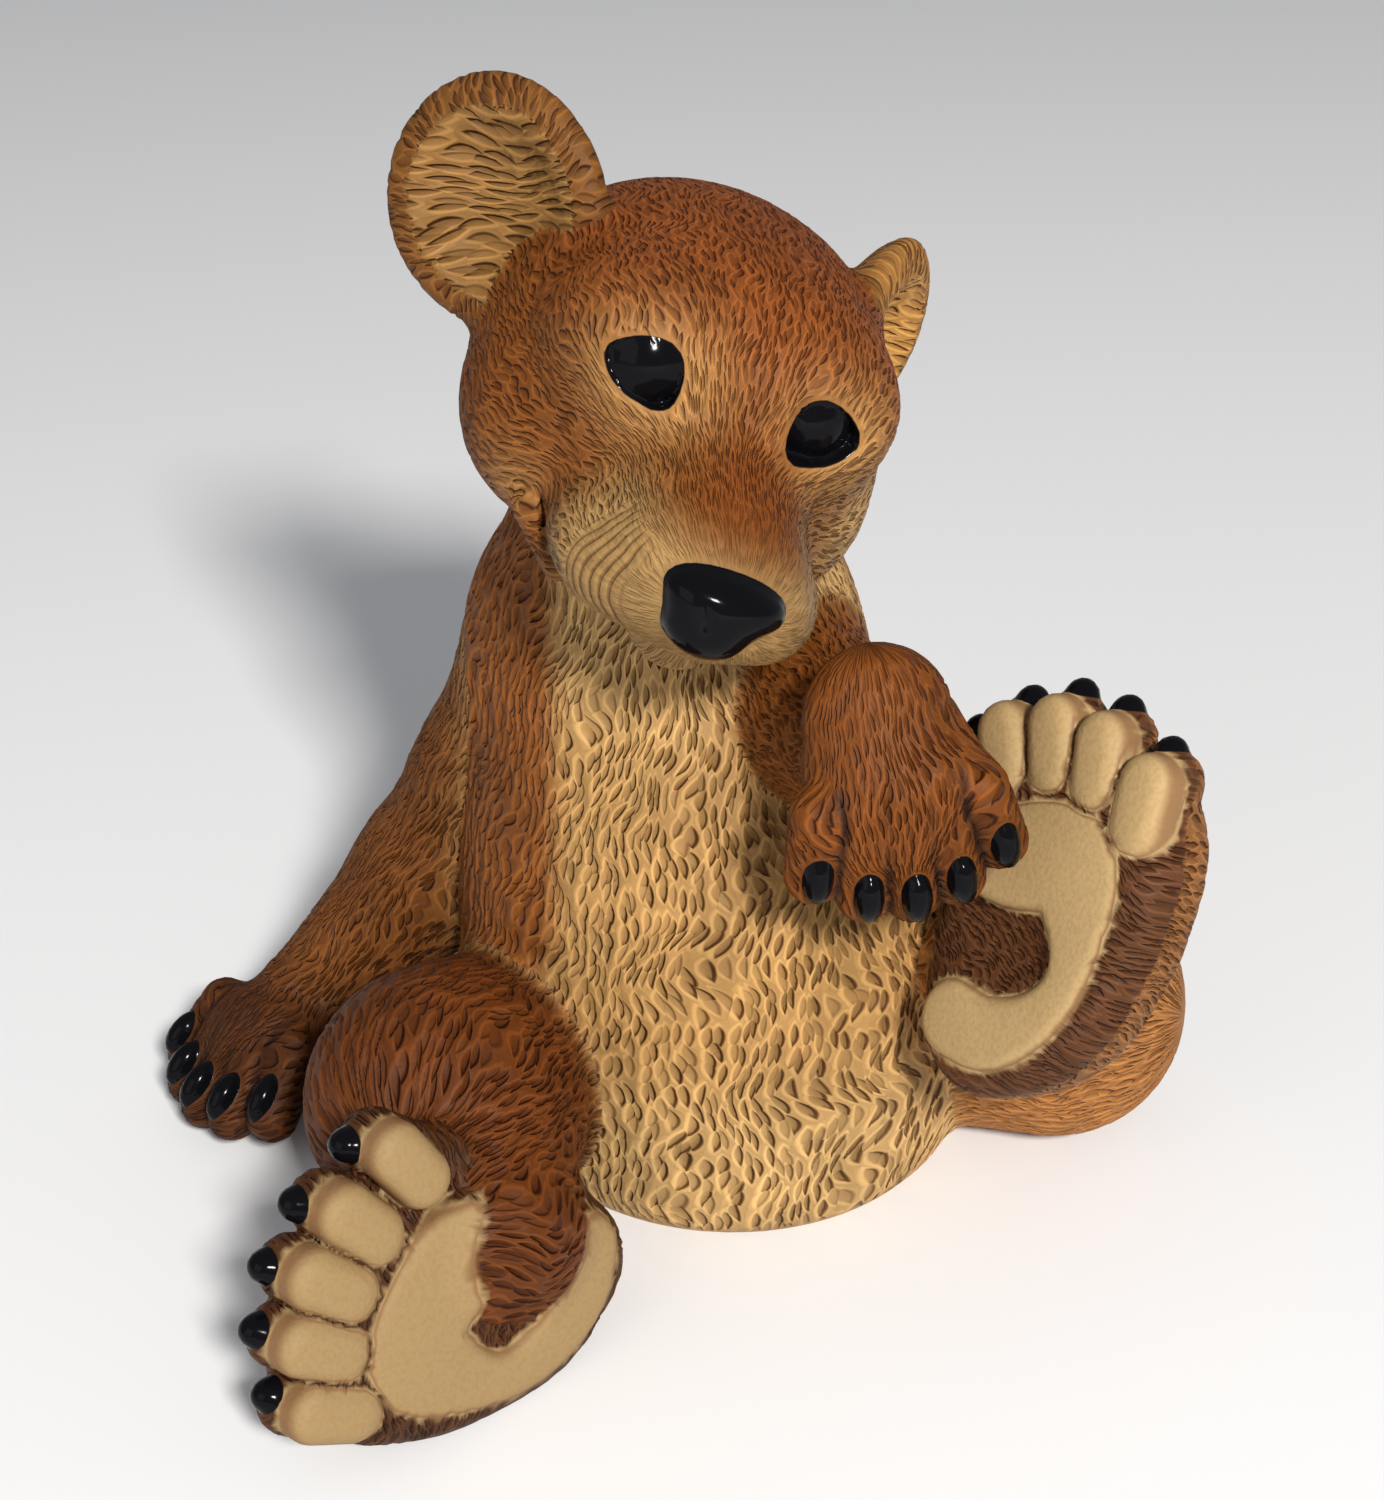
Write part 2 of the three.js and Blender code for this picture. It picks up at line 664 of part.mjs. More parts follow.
// Thins the skin to a number of facets by merging the edges that matter least. Each point carries
// the summed squared distances to the planes of its facets, as the ten terms of a symmetric form.
function thin({ points, faces }, wanted) {
  const forms = points.map(() => new Float64Array(10));
  const around = points.map(() => new Set());
  const stamp = new Uint32Array(points.length);
  const alive = new Uint8Array(faces.length).fill(1);
  const queue = new CheapestFirst();

  faces.forEach((corners, index) => {
    const [a, b, c] = corners.map((corner) => points[corner]);
    const normal = normalOf(a, b, c);
    const area = Math.hypot(...normal);
    for (const corner of corners) {
      around[corner].add(index);
    }
    if (area < 1e-9) {
      return;
    }
    const [nx, ny, nz] = normal.map((value) => value / area);
    const offset = -(nx * a[0] + ny * a[1] + nz * a[2]);
    const weight = area * fineness(...a);
    const terms = [
      nx * nx, nx * ny, nx * nz, nx * offset, ny * ny,
      ny * nz, ny * offset, nz * nz, nz * offset, offset * offset,
    ];
    for (const corner of corners) {
      terms.forEach((term, i) => {
        forms[corner][i] += weight * term;
      });
    }
  });

  function errorAt(q, [x, y, z]) {
    return (
      q[0] * x * x + 2 * q[1] * x * y + 2 * q[2] * x * z + 2 * q[3] * x + q[4] * y * y +
      2 * q[5] * y * z + 2 * q[6] * y + q[7] * z * z + 2 * q[8] * z + q[9]
    );
  }

  // The spot on which an edge shrinks: the best fit to its planes, if that lies near the edge.
  function plan(a, b) {
    const q = forms[a].map((value, i) => value + forms[b][i]);
    const middle = points[a].map((value, axis) => (value + points[b][axis]) / 2);
    const length = Math.hypot(...points[a].map((value, axis) => value - points[b][axis]));
    const options = [middle, points[a], points[b]];
    const m00 = q[4] * q[7] - q[5] * q[5];
    const m01 = q[2] * q[5] - q[1] * q[7];
    const m02 = q[1] * q[5] - q[2] * q[4];
    const whole = q[0] * m00 + q[1] * m01 + q[2] * m02;
    if (Math.abs(whole) > 1e-4 * (q[0] + q[4] + q[7]) ** 3) {
      const m11 = q[0] * q[7] - q[2] * q[2];
      const m12 = q[1] * q[2] - q[0] * q[5];
      const m22 = q[0] * q[4] - q[1] * q[1];
      const best = [
        -(m00 * q[3] + m01 * q[6] + m02 * q[8]) / whole,
        -(m01 * q[3] + m11 * q[6] + m12 * q[8]) / whole,
        -(m02 * q[3] + m12 * q[6] + m22 * q[8]) / whole,
      ];
      if (Math.hypot(...best.map((value, axis) => value - middle[axis])) < length) {
        options.unshift(best);
      }
    }
    let spot = options[0];
    let cost = errorAt(q, spot);
    for (const option of options.slice(1)) {
      const price = errorAt(q, option);
      if (price < cost) {
        spot = option;
        cost = price;
      }
    }
    const longEdges = 1e-4 * length * length;
    queue.push({ cost: cost + longEdges, a, b, spot, age: stamp[a] + stamp[b] });
  }

  function neighbours(point) {
    const found = new Set();
    for (const index of around[point]) {
      for (const corner of faces[index]) {
        if (corner !== point) {
          found.add(corner);
        }
      }
    }
    return found;
  }

  // Whether the facets round a point stay upright and well shaped when it moves to the spot.
  function staysFair(point, other, spot) {
    for (const index of around[point]) {
      const corners = faces[index];
      if (corners.includes(other)) {
        continue;
      }
      const before = corners.map((corner) => points[corner]);
      const after = corners.map((corner) => (corner === point ? spot : points[corner]));
      const old = normalOf(...before);
      const next = normalOf(...after);
      const dot = old[0] * next[0] + old[1] * next[1] + old[2] * next[2];
      const nextArea = Math.hypot(...next);
      if (dot < 0.25 * Math.hypot(...old) * nextArea) {
        return false;
      }
      let longest = 0;
      for (let i = 0; i < 3; i++) {
        const [p, q] = [after[i], after[(i + 1) % 3]];
        longest = Math.max(longest, (p[0] - q[0]) ** 2 + (p[1] - q[1]) ** 2 + (p[2] - q[2]) ** 2);
      }
      if (nextArea < 0.06 * longest) {
        return false;
      }
    }
    return true;
  }

  for (const [a, b, c] of faces) {
    for (const [from, to] of [[a, b], [b, c], [c, a]]) {
      if (from < to) {
        plan(from, to);
      }
    }
  }

  let left = faces.length;
  while (left > wanted && queue.entries.length > 0) {
    const { a, b, spot, age } = queue.pop();
    if (stamp[a] + stamp[b] !== age || around[a].size === 0 || around[b].size === 0) {
      continue;
    }
    const near = neighbours(a);
    if (!near.has(b)) {
      continue;
    }
    const shared = [...neighbours(b)].filter((corner) => near.has(corner));
    if (shared.length !== 2 || !staysFair(a, b, spot) || !staysFair(b, a, spot)) {
      continue;
    }
    points[a] = spot;
    forms[b].forEach((value, i) => {
      forms[a][i] += value;
    });
    for (const index of [...around[b]]) {
      const corners = faces[index];
      if (corners.includes(a)) {
        alive[index] = 0;
        left -= 1;
        for (const corner of corners) {
          around[corner].delete(index);
        }
      } else {
        faces[index] = corners.map((corner) => (corner === b ? a : corner));
        around[a].add(index);
      }
    }
    around[b].clear();
    stamp[a] += 1;
    stamp[b] += 1;
    for (const corner of neighbours(a)) {
      plan(a, corner);
    }
  }
  return { points, faces: faces.filter((corners, index) => alive[index] === 1) };
}

// Turns a list of points and facets into a three.js geometry without unused points.
function geometryOf({ points, faces }) {
  const renumbered = new Map();
  const positions = [];
  const indices = [];
  for (const corner of faces.flat()) {
    if (!renumbered.has(corner)) {
      renumbered.set(corner, positions.length / 3);
      positions.push(...points[corner]);
    }
    indices.push(renumbered.get(corner));
  }
  const geometry = new THREE.BufferGeometry();
  geometry.setAttribute("position", new THREE.Float32BufferAttribute(positions, 3));
  geometry.setIndex(indices);
  return geometry;
}

function solidOf(geometry) {
  const vertProperties = new Float32Array(geometry.attributes.position.array);
  const triVerts = new Uint32Array(geometry.index.array);
  return new wasm.Manifold(new wasm.Mesh({ numProp: 3, vertProperties, triVerts }));
}

// The slab under the ground that cuts the underside flat.
function groundSlab() {
  const half = GROUND_SLAB / 2;
  const points = [];
  for (const z of [-GROUND_SLAB, 0]) {
    points.push([-half, -half, z], [half, -half, z], [half, half, z], [-half, half, z]);
  }
  const faces = [
    [0, 2, 1], [0, 3, 2], [4, 5, 6], [4, 6, 7],
    [0, 1, 5], [0, 5, 4], [1, 2, 6], [1, 6, 5],
    [2, 3, 7], [2, 7, 6], [3, 0, 4], [3, 4, 7],
  ];
  return geometryOf({ points, faces });
}

function casting() {
  const skin = largestShell(skinOf(bear, BLOCK_LOW, BLOCK_HIGH, CELL));
  settle(skin.points, bear);
  const facets = thin(skin, FACETS);
  const cut = solidOf(geometryOf(facets)).subtract(solidOf(groundSlab()));
  const { vertProperties, triVerts } = cut.getMesh();
  const geometry = new THREE.BufferGeometry();
  geometry.setAttribute("position", new THREE.Float32BufferAttribute(vertProperties, 3));
  geometry.setIndex(new THREE.Uint32BufferAttribute(triVerts, 1));
  return geometry;
}

const resin = new THREE.MeshStandardMaterial({ color: 0xa8713c, roughness: 0.55, metalness: 0 });
const bearCasting = new THREE.Mesh(casting(), resin);
bearCasting.name = "bear_casting";

const bearCub = new THREE.Group();
bearCub.add(bearCasting);

export default bearCub;
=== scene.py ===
# Seated bear cub figurine: one resin casting, carved all over with fur and painted by hand.

import math

import bpy
import numpy as np
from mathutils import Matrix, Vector


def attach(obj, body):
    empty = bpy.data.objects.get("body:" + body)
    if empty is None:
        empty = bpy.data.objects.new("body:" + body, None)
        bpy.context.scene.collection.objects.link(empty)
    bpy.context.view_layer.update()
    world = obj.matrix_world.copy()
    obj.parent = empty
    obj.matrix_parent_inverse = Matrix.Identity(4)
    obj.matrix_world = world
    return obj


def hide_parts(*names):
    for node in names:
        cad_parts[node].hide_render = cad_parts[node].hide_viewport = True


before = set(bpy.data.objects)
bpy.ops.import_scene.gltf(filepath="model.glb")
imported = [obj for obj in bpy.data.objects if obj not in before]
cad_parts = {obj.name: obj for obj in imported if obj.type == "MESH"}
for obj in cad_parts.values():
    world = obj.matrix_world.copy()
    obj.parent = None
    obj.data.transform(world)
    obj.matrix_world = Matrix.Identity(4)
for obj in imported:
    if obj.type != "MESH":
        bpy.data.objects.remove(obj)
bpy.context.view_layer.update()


# Studio: a plain pale table top, a pale room for soft light from all round, one soft main lamp
# high on the right and a weak lamp low on the left.

room = bpy.data.worlds.new("pale_room")
room.use_nodes = True
room_light = room.node_tree.nodes["Background"]
room_light.inputs["Color"].default_value = (0.93, 0.95, 1.0, 1.0)
room_light.inputs["Strength"].default_value = 0.3
bpy.context.scene.world = room
bpy.context.scene.view_settings.view_transform = "Standard"

TABLE_SIDE = 12.0
bpy.ops.mesh.primitive_plane_add(size=TABLE_SIDE, location=(0, 0, 0))
table_top = bpy.context.object
table_top.name = "table_top"
table_paint = bpy.data.materials.new("pale_table")
table_paint.use_nodes = True
table_shader = table_paint.node_tree.nodes["Principled BSDF"]
table_shader.inputs["Base Color"].default_value = (0.82, 0.82, 0.82, 1.0)
table_shader.inputs["Roughness"].default_value = 0.9
table_top.data.materials.append(table_paint)


def lamp(name, at, towards, side, power, colour):
    light = bpy.data.lights.new(name, "AREA")
    light.size = side
    light.energy = power
    light.color = colour
    holder = bpy.data.objects.new(name, light)
    holder.location = at
    holder.rotation_mode = "QUATERNION"
    holder.rotation_quaternion = (Vector(towards) - Vector(at)).to_track_quat("-Z", "Y")
    bpy.context.scene.collection.objects.link(holder)


MIDDLE = (0.0, -0.04, 0.11)
lamp("main_lamp", (0.62, -2.0, 1.7), MIDDLE, 0.36, 88.0, (1.0, 0.985, 0.96))
lamp("side_lamp", (-0.9, -0.9, 0.6), MIDDLE, 0.9, 2.5, (0.96, 0.98, 1.0))

# The camera stands in front and looks down on the cub by thirty degrees.
CAMERA_AT = (0.0, -0.5396, 0.405)
CAMERA_TARGET = (0.0, -0.02, 0.105)
lens = bpy.data.cameras.new("camera")
lens.lens = 60.0
lens.sensor_width = 36.0
lens.clip_start = 0.02
lens.clip_end = 50.0
camera = bpy.data.objects.new("camera", lens)
camera.location = CAMERA_AT
sight_line = Vector(CAMERA_TARGET) - camera.location
camera.rotation_mode = "QUATERNION"
camera.rotation_quaternion = sight_line.to_track_quat("-Z", "Y")
bpy.context.scene.collection.objects.link(camera)
bpy.context.scene.camera = camera


# Torso: the broad seat, round belly, chest and shoulders of the one casting. The cub was modelled
# in clay, so each body here is a function of x, y and z in millimetres that gives the distance to
# its skin, below zero inside. Bodies are melted together or carved out of each other.


def turned(about_x, about_y, about_z):
    """Unit axes of a body turned by degrees about x, then y, then z."""
    cx, cy, cz = (math.cos(math.radians(angle)) for angle in (about_x, about_y, about_z))
    sx, sy, sz = (math.sin(math.radians(angle)) for angle in (about_x, about_y, about_z))
    return (
        (cz * cy, sz * cy, -sy),
        (cz * sy * sx - sz * cx, sz * sy * sx + cz * cx, cy * sx),
        (cz * sy * cx + sz * sx, sz * sy * cx - cz * sx, cy * cx),
    )


def along_axis(axis, x, y, z):
    return axis[0] * x + axis[1] * y + axis[2] * z


def ball(middle, radii, turn=(0, 0, 0)):
    axes = turned(*turn)

    def body(x, y, z):
        x = x - middle[0]
        y = y - middle[1]
        z = z - middle[2]
        if any(turn):
            x, y, z = (along_axis(axis, x, y, z) for axis in axes)
        u = x / radii[0]
        v = y / radii[1]
        w = z / radii[2]
        near = np.sqrt(u * u + v * v + w * w)
        slope = np.sqrt((u / radii[0]) ** 2 + (v / radii[1]) ** 2 + (w / radii[2]) ** 2)
        return near * (near - 1) / np.maximum(slope, 1e-6)

    return body


def limb(start, end, first_radius, last_radius, squash=1.0):
    """A round limb that tapers from start to end; squash below 1 thins it along z."""
    dx, dy, dz = (b - a for a, b in zip(start, end))
    square = dx * dx + dy * dy + dz * dz

    def body(x, y, z):
        x = x - start[0]
        y = y - start[1]
        z = z - start[2]
        along = np.clip((x * dx + y * dy + z * dz) / square, 0, 1)
        x = x - along * dx
        y = y - along * dy
        z = (z - along * dz) / squash
        radius = first_radius + (last_radius - first_radius) * along
        return (np.sqrt(x * x + y * y + z * z) - radius) * (1 + squash) / 2

    return body


def drum(middle, radius, half, rounding):
    """An upright drum with rounded rims."""

    def body(x, y, z):
        across = np.hypot(x - middle[0], y - middle[1]) - (radius - rounding)
        upright = np.abs(z - middle[2]) - (half - rounding)
        inside = np.minimum(np.maximum(across, upright), 0)
        return inside + np.hypot(np.maximum(across, 0), np.maximum(upright, 0)) - rounding

    return body


def melt(a, b, seam):
    """Joins two distances with a soft seam."""
    overlap = np.maximum(seam - np.abs(a - b), 0)
    return np.minimum(a, b) - overlap * overlap / (4 * seam)


def carve(a, b, seam):
    """Takes the second distance out of the first."""
    return -melt(-a, b, seam)


def melted(*pairs):
    """Melts [body, seam] pairs into one body."""

    def body(x, y, z):
        distance = pairs[0][0](x, y, z)
        for other, seam in pairs[1:]:
            distance = melt(distance, other(x, y, z), seam)
        return distance

    return body


def strip(start, end, first_radius, last_radius):
    """A flat tapering strip in two coordinates."""
    dx, dy = (b - a for a, b in zip(start, end))
    square = dx * dx + dy * dy

    def outline(x, y):
        along = np.clip(((x - start[0]) * dx + (y - start[1]) * dy) / square, 0, 1)
        radius = first_radius + (last_radius - first_radius) * along
        return np.hypot(x - start[0] - along * dx, y - start[1] - along * dy) - radius

    return outline


def nearest(bodies, *spot):
    distance = bodies[0](*spot)
    for body in bodies[1:]:
        distance = np.minimum(distance, body(*spot))
    return distance


torso = melted(
    [drum((10, -16, 24), 62.5, 36, 30), 0],
    [ball((6, -10, 62), (64, 64, 62)), 20],
    [ball((-7, 0, 112), (45, 45, 60)), 22],
    [ball((-7, 2, 152), (34, 34, 30)), 14],
    [ball((-27, 6, 126), (22, 26, 30)), 12],
    [ball((13, 2, 128), (24, 26, 30)), 12],
)


# Arms and legs: round tapering limbs of the same casting. The right arm props the cub up, the left
# one reaches forward, and both legs lie folded on the ground.

right_arm = melted(
    [limb((-31, 6, 128), (-51, 4, 86), 21, 17.5), 0],
    [limb((-51, 4, 86), (-67, 2, 56), 17.5, 19.5), 8],
    [limb((-67, 2, 56), (-96, -8, 27), 19, 14), 6],
)
left_arm = melted(
    [limb((14, 0, 126), (32, -44, 125), 22, 18.5), 0],
    [limb((32, -44, 125), (38, -72, 134), 18.5, 15), 6],
)
right_leg = melted(
    [limb((-20, -15, 24), (-59, -74, 42), 27, 31), 0],
    [limb((-56, -76, 42), (-45, -108, 32), 28, 20), 10],
)
left_leg = melted(
    [limb((30, -8, 34), (91, -24, 31), 36, 31), 0],
    [limb((92, -28, 40), (74, -58, 66), 29, 20), 10],
)


# Head: a round skull with full cheeks, a short snout and a smiling mouth. It is modelled in its own
# frame, x to its left, y to its back and z to its crown. Eyes and nose are cast in with it.


def unit(vector):
    vector = np.array(vector, float)
    return vector / np.linalg.norm(vector)


def frame_at(at, ahead, up):
    """Square axes at a point: x points ahead, z is up made square to it, and y completes them."""
    x = unit(ahead)
    z = unit(up - np.dot(up, x) * x)
    return {"at": at, "x": x, "y": np.cross(z, x), "z": z}


def local_to(axes, x, y, z, side=1):
    """Coordinates in a frame; side -1 mirrors them across."""
    x = x - axes["at"][0]
    y = y - axes["at"][1]
    z = z - axes["at"][2]
    across = along_axis([float(value) for value in axes["y"]], x, y, z)
    return (
        along_axis([float(value) for value in axes["x"]], x, y, z),
        side * across,
        along_axis([float(value) for value in axes["z"]], x, y, z),
    )


def placed(body, axes, side=1):
    return lambda x, y, z: body(*local_to(axes, x, y, z, side))


HEAD_AT = (-2, -8, 193)
HEAD_YAW = math.radians(9.5)
HEAD_PITCH = math.radians(3)
HEAD_ROLL = math.radians(24.5)
gaze = np.array(
    [
        math.sin(HEAD_YAW) * math.cos(HEAD_PITCH),
        -math.cos(HEAD_YAW) * math.cos(HEAD_PITCH),
        -math.sin(HEAD_PITCH),
    ]
)
level_left = np.array([math.cos(HEAD_YAW), math.sin(HEAD_YAW), 0])
level_up = np.cross(gaze, level_left)
head_left = level_left * math.cos(HEAD_ROLL) - level_up * math.sin(HEAD_ROLL)
HEAD = {"at": HEAD_AT, "x": head_left, "y": -gaze, "z": np.cross(gaze, head_left)}

skull_pairs = [
    [ball((0, 4, 4), (47, 45, 40)), 0],
    [ball((0, -19, 17), (32, 25, 21)), 12],
    [limb((0, -22, -4), (0, -64, -12), 27, 19, 0.9), 12],
    [ball((0, -68, -14), (21, 17, 14)), 8],
]
for side in (-1, 1):
    skull_pairs.append([ball((side * 23, -8, -13), (25, 30, 23)), 12])
    skull_pairs.append([ball((side * 20 - 2, -28, 16), (19, 17.2, 16)), 12])
    skull_pairs.append([ball((side * 15, -49, -19.5), (15.5, 26, 13)), 6])
skull = melted(*skull_pairs)
lower_jaw = limb((0, -16, -26), (0, -62, -29), 17, 10, 0.8)
nose = melted(
    [ball((-1, -82.5, -9.5), (13.2, 9, 6)), 0],
    [ball((-2.5, -83, -15.5), (9.5, 8.5, 7.5)), 4],
)
nostril = limb((7.5, -92.5, -9.5), (5, -92, -13.5), 2.2, 1.3)
lip_cleft = limb((-2, -92, -18), (-2, -88, -27), 0.9, 1.3)

EYE_MIDDLE = -4
EYE_SIDE = 18.4
EYE_SPLAY = 0.25
EYE_FRONT = -36.5
EYE_UP = 17
EYE_CORNERS = ((10.4, 0.2), (2.9, 6.9), (-5.4, 6.5), (-9.3, -1.2), (-7.4, -7.3), (4.8, -6.4))
EYE_ROUND = 4.0
eyeball = ball((EYE_SIDE, EYE_FRONT, EYE_UP), (10.6, 10.3, 10.3))


def eye_opening(u, w):
    """The opening between the lids, a rounded outline through its corners."""
    opening = None
    for (u0, w0), (u1, w1) in zip(EYE_CORNERS, EYE_CORNERS[1:] + EYE_CORNERS[:1]):
        length = math.hypot(u1 - u0, w1 - w0)
        beyond = ((w1 - w0) * (u - u0) - (u1 - u0) * (w - w0)) / length
        opening = beyond if opening is None else -melt(-opening, -beyond, EYE_ROUND)
    return opening


def eye_distance(x, y, z):
    """Below zero in front of both eyes, in the opening between the lids."""
    outward = np.abs(x - EYE_MIDDLE) - EYE_SIDE + EYE_SPLAY * (y - EYE_FRONT)
    return np.where(y < EYE_FRONT, eye_opening(outward, z - EYE_UP), 30)


lip_corner = limb((30.5, -30, -25.5), (23, -44, -31), 4.6, 4)
mouth_corner = limb((29, -35, -21.5), (27, -39, -28), 1.3, 2)
smile_fold = limb((34.5, -32.5, -21.5), (32.5, -30, -28), 1, 1.3)


def skull_and_jaw(x, y, z):
    jaw = melt(lower_jaw(x, y, z), lip_corner(np.abs(x), y, z), 4)
    return melt(skull(x, y, z), jaw, 1.2)


def bare_head(x, y, z):
    side = np.abs(x)
    distance = skull_and_jaw(x, y, z)
    distance = carve(distance, eye_distance(x, y, z), 1)
    distance = melt(distance, eyeball(np.abs(x - EYE_MIDDLE), y, z), 0.5)
    distance = carve(distance, np.minimum(mouth_corner(side, y, z), smile_fold(side, y, z)), 1)
    distance = melt(distance, nose(x, y, z), 1.2)
    return carve(distance, np.minimum(nostril(side, y, z), lip_cleft(x, y, z)), 0.8)


# Ears: two round shells on the head, dished in front and curled a little at their sides.

EAR_CURL = 0.006
ear_disc = ball((0, 4, 0), (26, 9, 28.5))
ear_dish = ball((0, -8, 1), (20.5, 12, 22.5))


def ear_local(x, y, z, side, at, turn, lean):
    """Head coordinates to those of an ear: u outward, v to its back and w to its tip."""
    turn = math.radians(side * turn)
    lean = math.radians(side * lean)
    x = x - at[0]
    y = y - at[1]
    z = z - at[2]
    across = math.cos(turn) * x + math.sin(turn) * y
    back = math.cos(turn) * y - math.sin(turn) * x
    u = side * (math.cos(lean) * across - math.sin(lean) * z)
    w = math.sin(lean) * across + math.cos(lean) * z
    return u, back + EAR_CURL * u * u, w


def ear(*pose):
    def body(x, y, z):
        u, v, w = ear_local(*local_to(HEAD, x, y, z), *pose)
        return carve(ear_disc(u, v, w), ear_dish(u, v, w), 3)

    return body


RIGHT_EAR = (-1, (-53.5, 10, 21), 32, 43)
LEFT_EAR = (1, (43, 17, 17), 50, 22)


# Feet: each sole faces outward with five round toe pads, one broad pad that runs from behind the
# toes round the outer edge to the heel, and five short claws. x runs from heel to toes, y to the
# outer edge and z out of the sole.

DIGITS = (-2, -1, 0, 1, 2)
CORNER_CUTS = 2


def outline_of(line):
    """The outline round a line of (x, y, radius) discs, with its corners cut."""
    for cut in range(CORNER_CUTS if len(line) > 2 else 0):
        near = [[0.75 * a + 0.25 * b for a, b in zip(*pair)] for pair in zip(line, line[1:])]
        far = [[0.25 * a + 0.75 * b for a, b in zip(*pair)] for pair in zip(line, line[1:])]
        line = [line[0], *(disc for pair in zip(near, far) for disc in pair), line[-1]]
    strips = [strip(here[:2], there[:2], here[2], there[2]) for here, there in zip(line, line[1:])]
    return lambda x, y: nearest(strips, x, y)


def slab(outline, top, half, rounding):
    """A flat body with rounded rims in an outline, from z = top down."""

    def body(x, y, z):
        beside = outline(x, y) + rounding
        above = np.abs(z - top + half) - half + rounding
        inside = np.minimum(np.maximum(beside, above), 0)
        return inside + np.hypot(np.maximum(beside, 0), np.maximum(above, 0)) - rounding

    return body


BLOCK_LINE = ((-31, -3, 16.5), (-20, 8, 20), (0, 11, 22), (14, 6, 26))
foot_block = melted(
    [slab(outline_of(BLOCK_LINE), -1.2, 12, 9), 0],
    [ball((-8, -12, -17), (24, 18, 13)), 8],
)
arch_hollow = ball((-12, -6, 5), (12, 22, 11))
PAD_LINE = (
    (2, -17.5, 5),
    (7, -8.5, 11.7),
    (12.2, 4, 12.8),
    (12, 12.5, 12.8),
    (-9, 20, 5.3),
    (-22.5, 15, 6.3),
    (-32, 3, 8.6),
    (-32, -8, 9),
)
pad_outlines = [outline_of(PAD_LINE)]
sole_pad = slab(pad_outlines[0], 0, 5, 3.2)

toe_pads = []
toe_backs = []
toe_claws = []
for digit in DIGITS:
    toe_x = 35.2 + 3.3 * digit - 2.6 * digit * digit
    toe_y = -7.5 + 13.2 * digit + 0.45 * digit * digit
    toe_turn = math.radians(8 * digit - 24)
    ahead_x = math.cos(toe_turn)
    ahead_y = math.sin(toe_turn)
    toe_root = (toe_x - 6 * ahead_x, toe_y - 6 * ahead_y, 6.8)
    toe_tip = (toe_x + 3.6 * ahead_x, toe_y + 3.6 * ahead_y, 7.0)
    pad_outlines.append(outline_of((toe_root, toe_tip)))
    toe_pads.append(slab(pad_outlines[-1], 0.4, 5.5, 4.6))
    back_end = (toe_x + 5 * ahead_x, toe_y + 5 * ahead_y, -11)
    toe_backs.append(limb((toe_x - 16, 0.8 * toe_y, -16), back_end, 9, 7.2))
    claw_at = (toe_x + 9.6, toe_y - 2.8, -11)
    toe_claws.append(ball(claw_at, (5, 4, 4.4)))


def foot_flesh(x, y, z):
    distance = carve(foot_block(x, y, z), arch_hollow(x, y, z), 6)
    return melt(distance, nearest(toe_backs, x, y, z), 3)


def foot(x, y, z):
    distance = melt(foot_flesh(x, y, z), nearest(toe_pads, x, y, z), 1)
    distance = melt(distance, sole_pad(x, y, z), 1)
    return melt(distance, nearest(toe_claws, x, y, z), 0.8)


RIGHT_FOOT = frame_at((-48, -130, 29.5), (-0.76, -0.55, 0.35), (0.64, -0.72, 0.265))
LEFT_FOOT = frame_at((71.6, -79, 101), (0.3, 0.31, 0.9), (-0.73, -0.53, 0.43))


# Hands: broad mitts with five short fingers. The claws lie on the backs of the fingers. x runs from
# wrist to fingertips, y across and z out of the back of the hand.

palm = limb((-6, 0, 0), (8, 1.5, 0), 16, 20.5, 0.68)
finger_flesh = []
finger_claws = []
for digit in DIGITS:
    finger_y = 2 + 10.2 * digit
    finger_x = 33.5 - 2 * digit * digit
    finger_flesh.append(limb((12, 1 + 8.6 * digit, 5.2), (finger_x, finger_y, -2), 6.6, 6.3))
    claw_at = (finger_x - 0.5, finger_y, 4.6)
    finger_claws.append(ball(claw_at, (6.4, 3.3, 3.6), (0, 26, 4 * digit)))


def hand_flesh(x, y, z):
    flesh = finger_flesh[0](x, y, z)
    for finger in finger_flesh[1:]:
        flesh = melt(flesh, finger(x, y, z), 0.8)
    return melt(palm(x, y, z), flesh, 3)


def hand(x, y, z):
    return melt(hand_flesh(x, y, z), nearest(finger_claws, x, y, z), 0.6)


RIGHT_HAND = frame_at((-101, -12.5, 22), (-0.7, -0.6, -0.3), (-0.35, -0.2, 0.9))
LEFT_HAND = frame_at((40, -82, 142), (0.16, -0.3, -0.93), (0.12, -0.93, 0.3))


# The whole cub: head, ears, limbs, hands and feet grow out of the torso with a wide soft seam near
# their joint and a narrow one elsewhere. The underside is cut flat to stand on.

